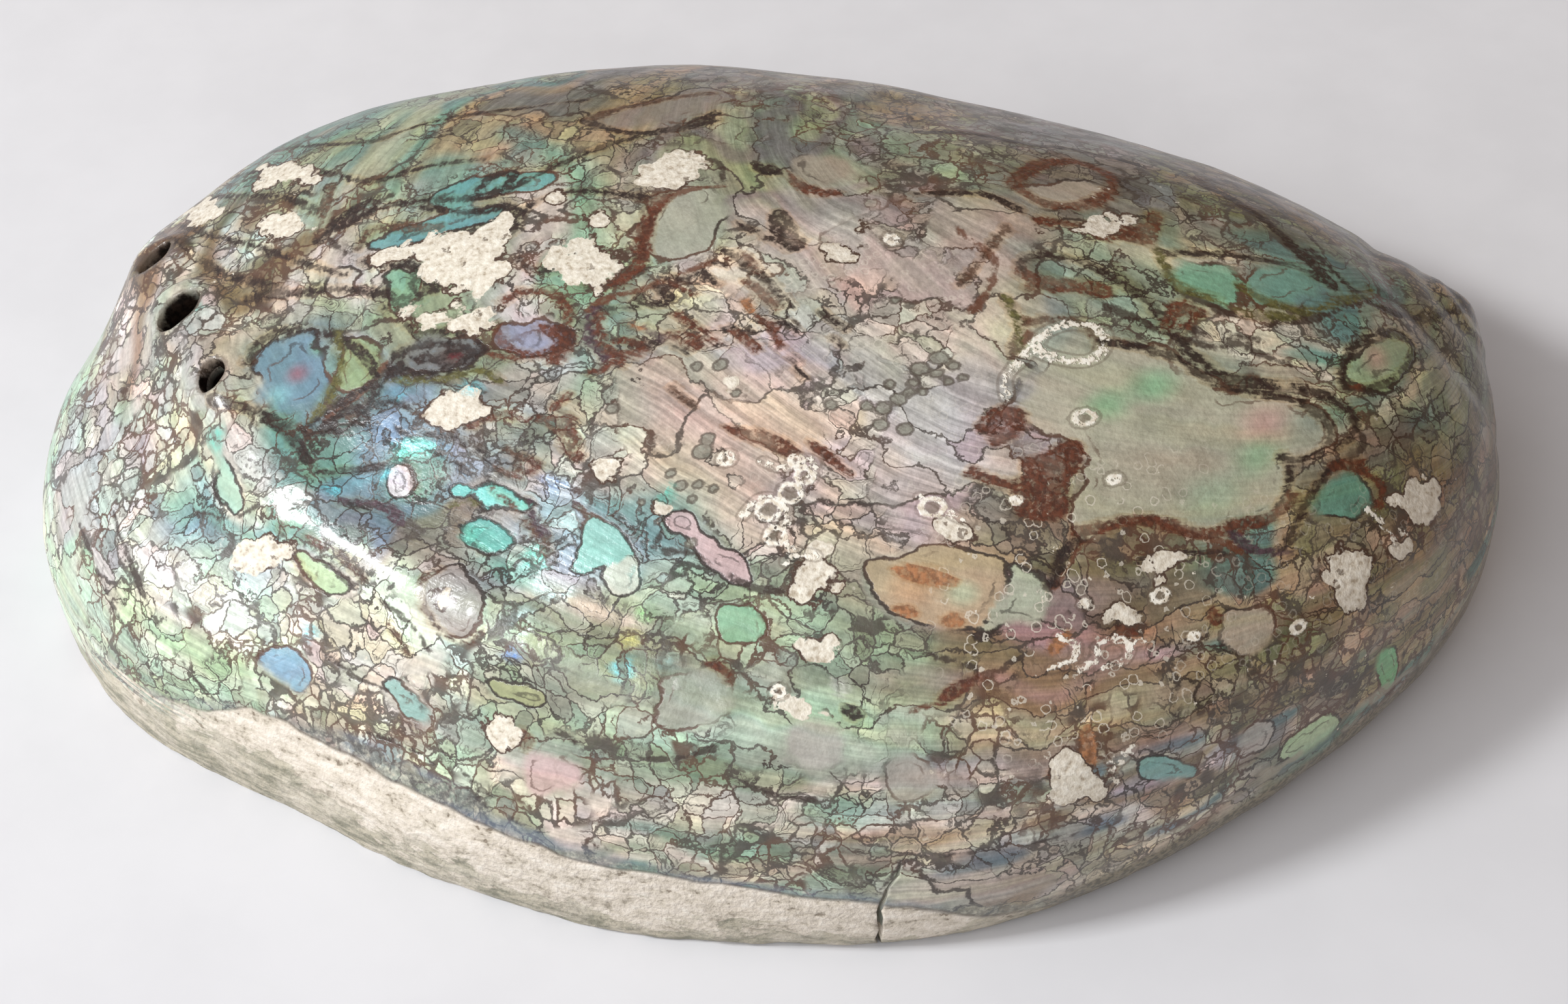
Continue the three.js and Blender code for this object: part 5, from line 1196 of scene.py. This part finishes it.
col = T.mix(hole_shade, col, T.mix(T.step(fC[0], 0.3, 0.7), lin((14, 11, 9)), lin((34, 25, 20))))

# gloss: polished nacre, duller chalk and rim
chalk = T.mx(T.mx(T.mul(inC, 0.8), T.mul(onRim, T.inv(inner_))), hole_shade)
rough = T.mixf(T.mx(chalk, T.mul(white, 0.6)), T.step(fB[2], 0.3, 0.7, 0.29, 0.42), 0.54)
height = T.add(T.mul(T.sub(fB[0], 0.5), 0.34), T.mul(T.sub(fC[0], 0.5), 0.085))
height = T.sub(height, T.mul(T.mx(edgeP, veins), 0.05))
height = T.add(height, T.mul(T.mul(T.sub(s1, 0.5), streakM), 0.10))
height = T.add(height, T.mul(T.step(eC, 0.10, -0.10), 0.03))
height = T.add(height, T.mul(T.mul(T.mx(T.mul(T.step(eC, 0.10, -0.10), 0.4), onRim), T.sub(mott, 0.5)), 0.20))
height = T.add(height, T.mul(white, 0.08))
bp = T.node("ShaderNodeBump")
T.put(bp.inputs["Strength"], 0.8)
T.put(bp.inputs["Distance"], 0.001)
T.put(bp.inputs["Height"], height)
bs = T.node("ShaderNodeBsdfPrincipled")
T.put(bs.inputs["Base Color"], col)
T.put(bs.inputs["Roughness"], rough)
T.put(bs.inputs["Metallic"], T.mul(painted_glint_mask, 0.35))
T.put(bs.inputs["Specular IOR Level"], T.mixf(hole_shade, 0.5, 0.05))
T.put(bs.inputs["Normal"], bp.outputs[0])
bs.inputs["IOR"].default_value = 1.46
T.put(bs.inputs["Coat Weight"], T.mixf(chalk, 0.26, 0.04))
bs.inputs["Coat Roughness"].default_value = 0.14
bs.inputs["Coat IOR"].default_value = 1.5
out = T.node("ShaderNodeOutputMaterial")
T.t.links.new(bs.outputs[0], out.inputs[0])
me.materials.clear()
me.materials.append(T.mat)
me.polygons.foreach_set("material_index", np.zeros(nf, np.int32))
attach(shell, "root")
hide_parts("shell")

# ------------------------------------------------------------------ floor, light, camera
F = Tree("pale_floor")
tc = F.node("ShaderNodeTexCoord").outputs["Object"]
fn = F.noise(tc, 60.0, 4.0, 0.6)
ff = F.noise(tc, 3.0, 2.0)
fcol = F.mix(F.step(fn, 0.3, 0.7), lin((209, 208, 209)), lin((214, 213, 214)))
fcol = F.mix(F.mul(F.step(ff, 0.3, 0.7), 0.5), fcol, lin((212, 213, 217)))
speck = F.step(F.vor(tc, 55.0)[0], 0.030, 0.018)
fcol = F.mix(F.mul(speck, 0.35), fcol, lin((150, 148, 150)))
fb = F.node("ShaderNodeBsdfPrincipled")
F.put(fb.inputs["Base Color"], fcol)
F.put(fb.inputs["Roughness"], F.step(fn, 0.3, 0.7, 0.46, 0.56))
fb.inputs["Specular IOR Level"].default_value = 0.35
fo = F.node("ShaderNodeOutputMaterial")
F.t.links.new(fb.outputs[0], fo.inputs[0])
fm = bpy.data.meshes.new("floor")
fm.from_pydata([(-3, -3, 0), (3, -3, 0), (3, 3, 0), (-3, 3, 0)], [], [(0, 1, 2, 3)])
fm.materials.append(F.mat)
floor = bpy.data.objects.new("floor", fm)
bpy.context.scene.collection.objects.link(floor)

scene = bpy.context.scene
world = bpy.data.worlds.new("room")
scene.world = world
world.use_nodes = True
wt = world.node_tree
wt.nodes.clear()
wo = wt.nodes.new("ShaderNodeOutputWorld")
wb = wt.nodes.new("ShaderNodeBackground")
wc = wt.nodes.new("ShaderNodeTexCoord")
wd = wt.nodes.new("ShaderNodeVectorMath"); wd.operation = "DOT_PRODUCT"
wd.inputs[1].default_value = (-0.80, -0.42, 0.42)
wr = wt.nodes.new("ShaderNodeValToRGB")
wr.color_ramp.elements[0].position, wr.color_ramp.elements[0].color = 0.30, (0.300, 0.210, 0.145, 1)
wr.color_ramp.elements[1].position, wr.color_ramp.elements[1].color = 0.93, (0.92, 0.93, 0.97, 1)
wm = wt.nodes.new("ShaderNodeMapRange")
for i, v in ((1, -1.0), (2, 1.0)):
    wm.inputs[i].default_value = v
wt.links.new(wc.outputs["Generated"], wd.inputs[0])
wt.links.new(wd.outputs["Value"], wm.inputs[0])
wt.links.new(wm.outputs[0], wr.inputs[0])
wt.links.new(wr.outputs[0], wb.inputs[0])
wb.inputs[1].default_value = 0.78
wt.links.new(wb.outputs[0], wo.inputs[0])


def area(name, az, el, dist, sx, sy, power, colour, at=(0, 0, 0.01)):
    L = bpy.data.lights.new(name, "AREA")
    L.shape, L.size, L.size_y, L.energy, L.color = "RECTANGLE", sx, sy, power, colour
    o = bpy.data.objects.new(name, L)
    scene.collection.objects.link(o)
    d = Vector((math.cos(az * D2R) * math.cos(el * D2R), math.sin(az * D2R) * math.cos(el * D2R), math.sin(el * D2R)))
    o.location = Vector(at) + d * dist
    o.rotation_mode = "QUATERNION"
    o.rotation_quaternion = d.to_track_quat("Z", "Y")
    return o


area("window", 190, 42, 0.86, 0.15, 0.14, 5.4, (0.97, 0.985, 1.0))
area("soft_left", 222, 40, 0.90, 0.72, 0.48, 2.75, (0.965, 0.98, 1.0))

cam = bpy.data.objects.new("camera", bpy.data.cameras.new("camera"))
scene.collection.objects.link(cam)
el, roll = 49.162 * D2R, 2.469 * D2R
eye, aim = Vector((2.092, -186.551, 217.853)) * 0.001, Vector((2.092, -8.627, 12.0)) * 0.001
back = (eye - aim).normalized()
right = Vector((1, 0, 0))
up = back.cross(right)
r2 = right * math.cos(roll) - up * math.sin(roll)
u2 = up * math.cos(roll) + right * math.sin(roll)
from mathutils import Matrix
cam.matrix_world = Matrix(((r2.x, u2.x, back.x, eye.x), (r2.y, u2.y, back.y, eye.y), (r2.z, u2.z, back.z, eye.z), (0, 0, 0, 1)))
cam.data.sensor_width = 36
cam.data.lens = 62.78
cam.data.clip_start = 0.01
scene.camera = cam
scene.view_settings.view_transform = "Standard"
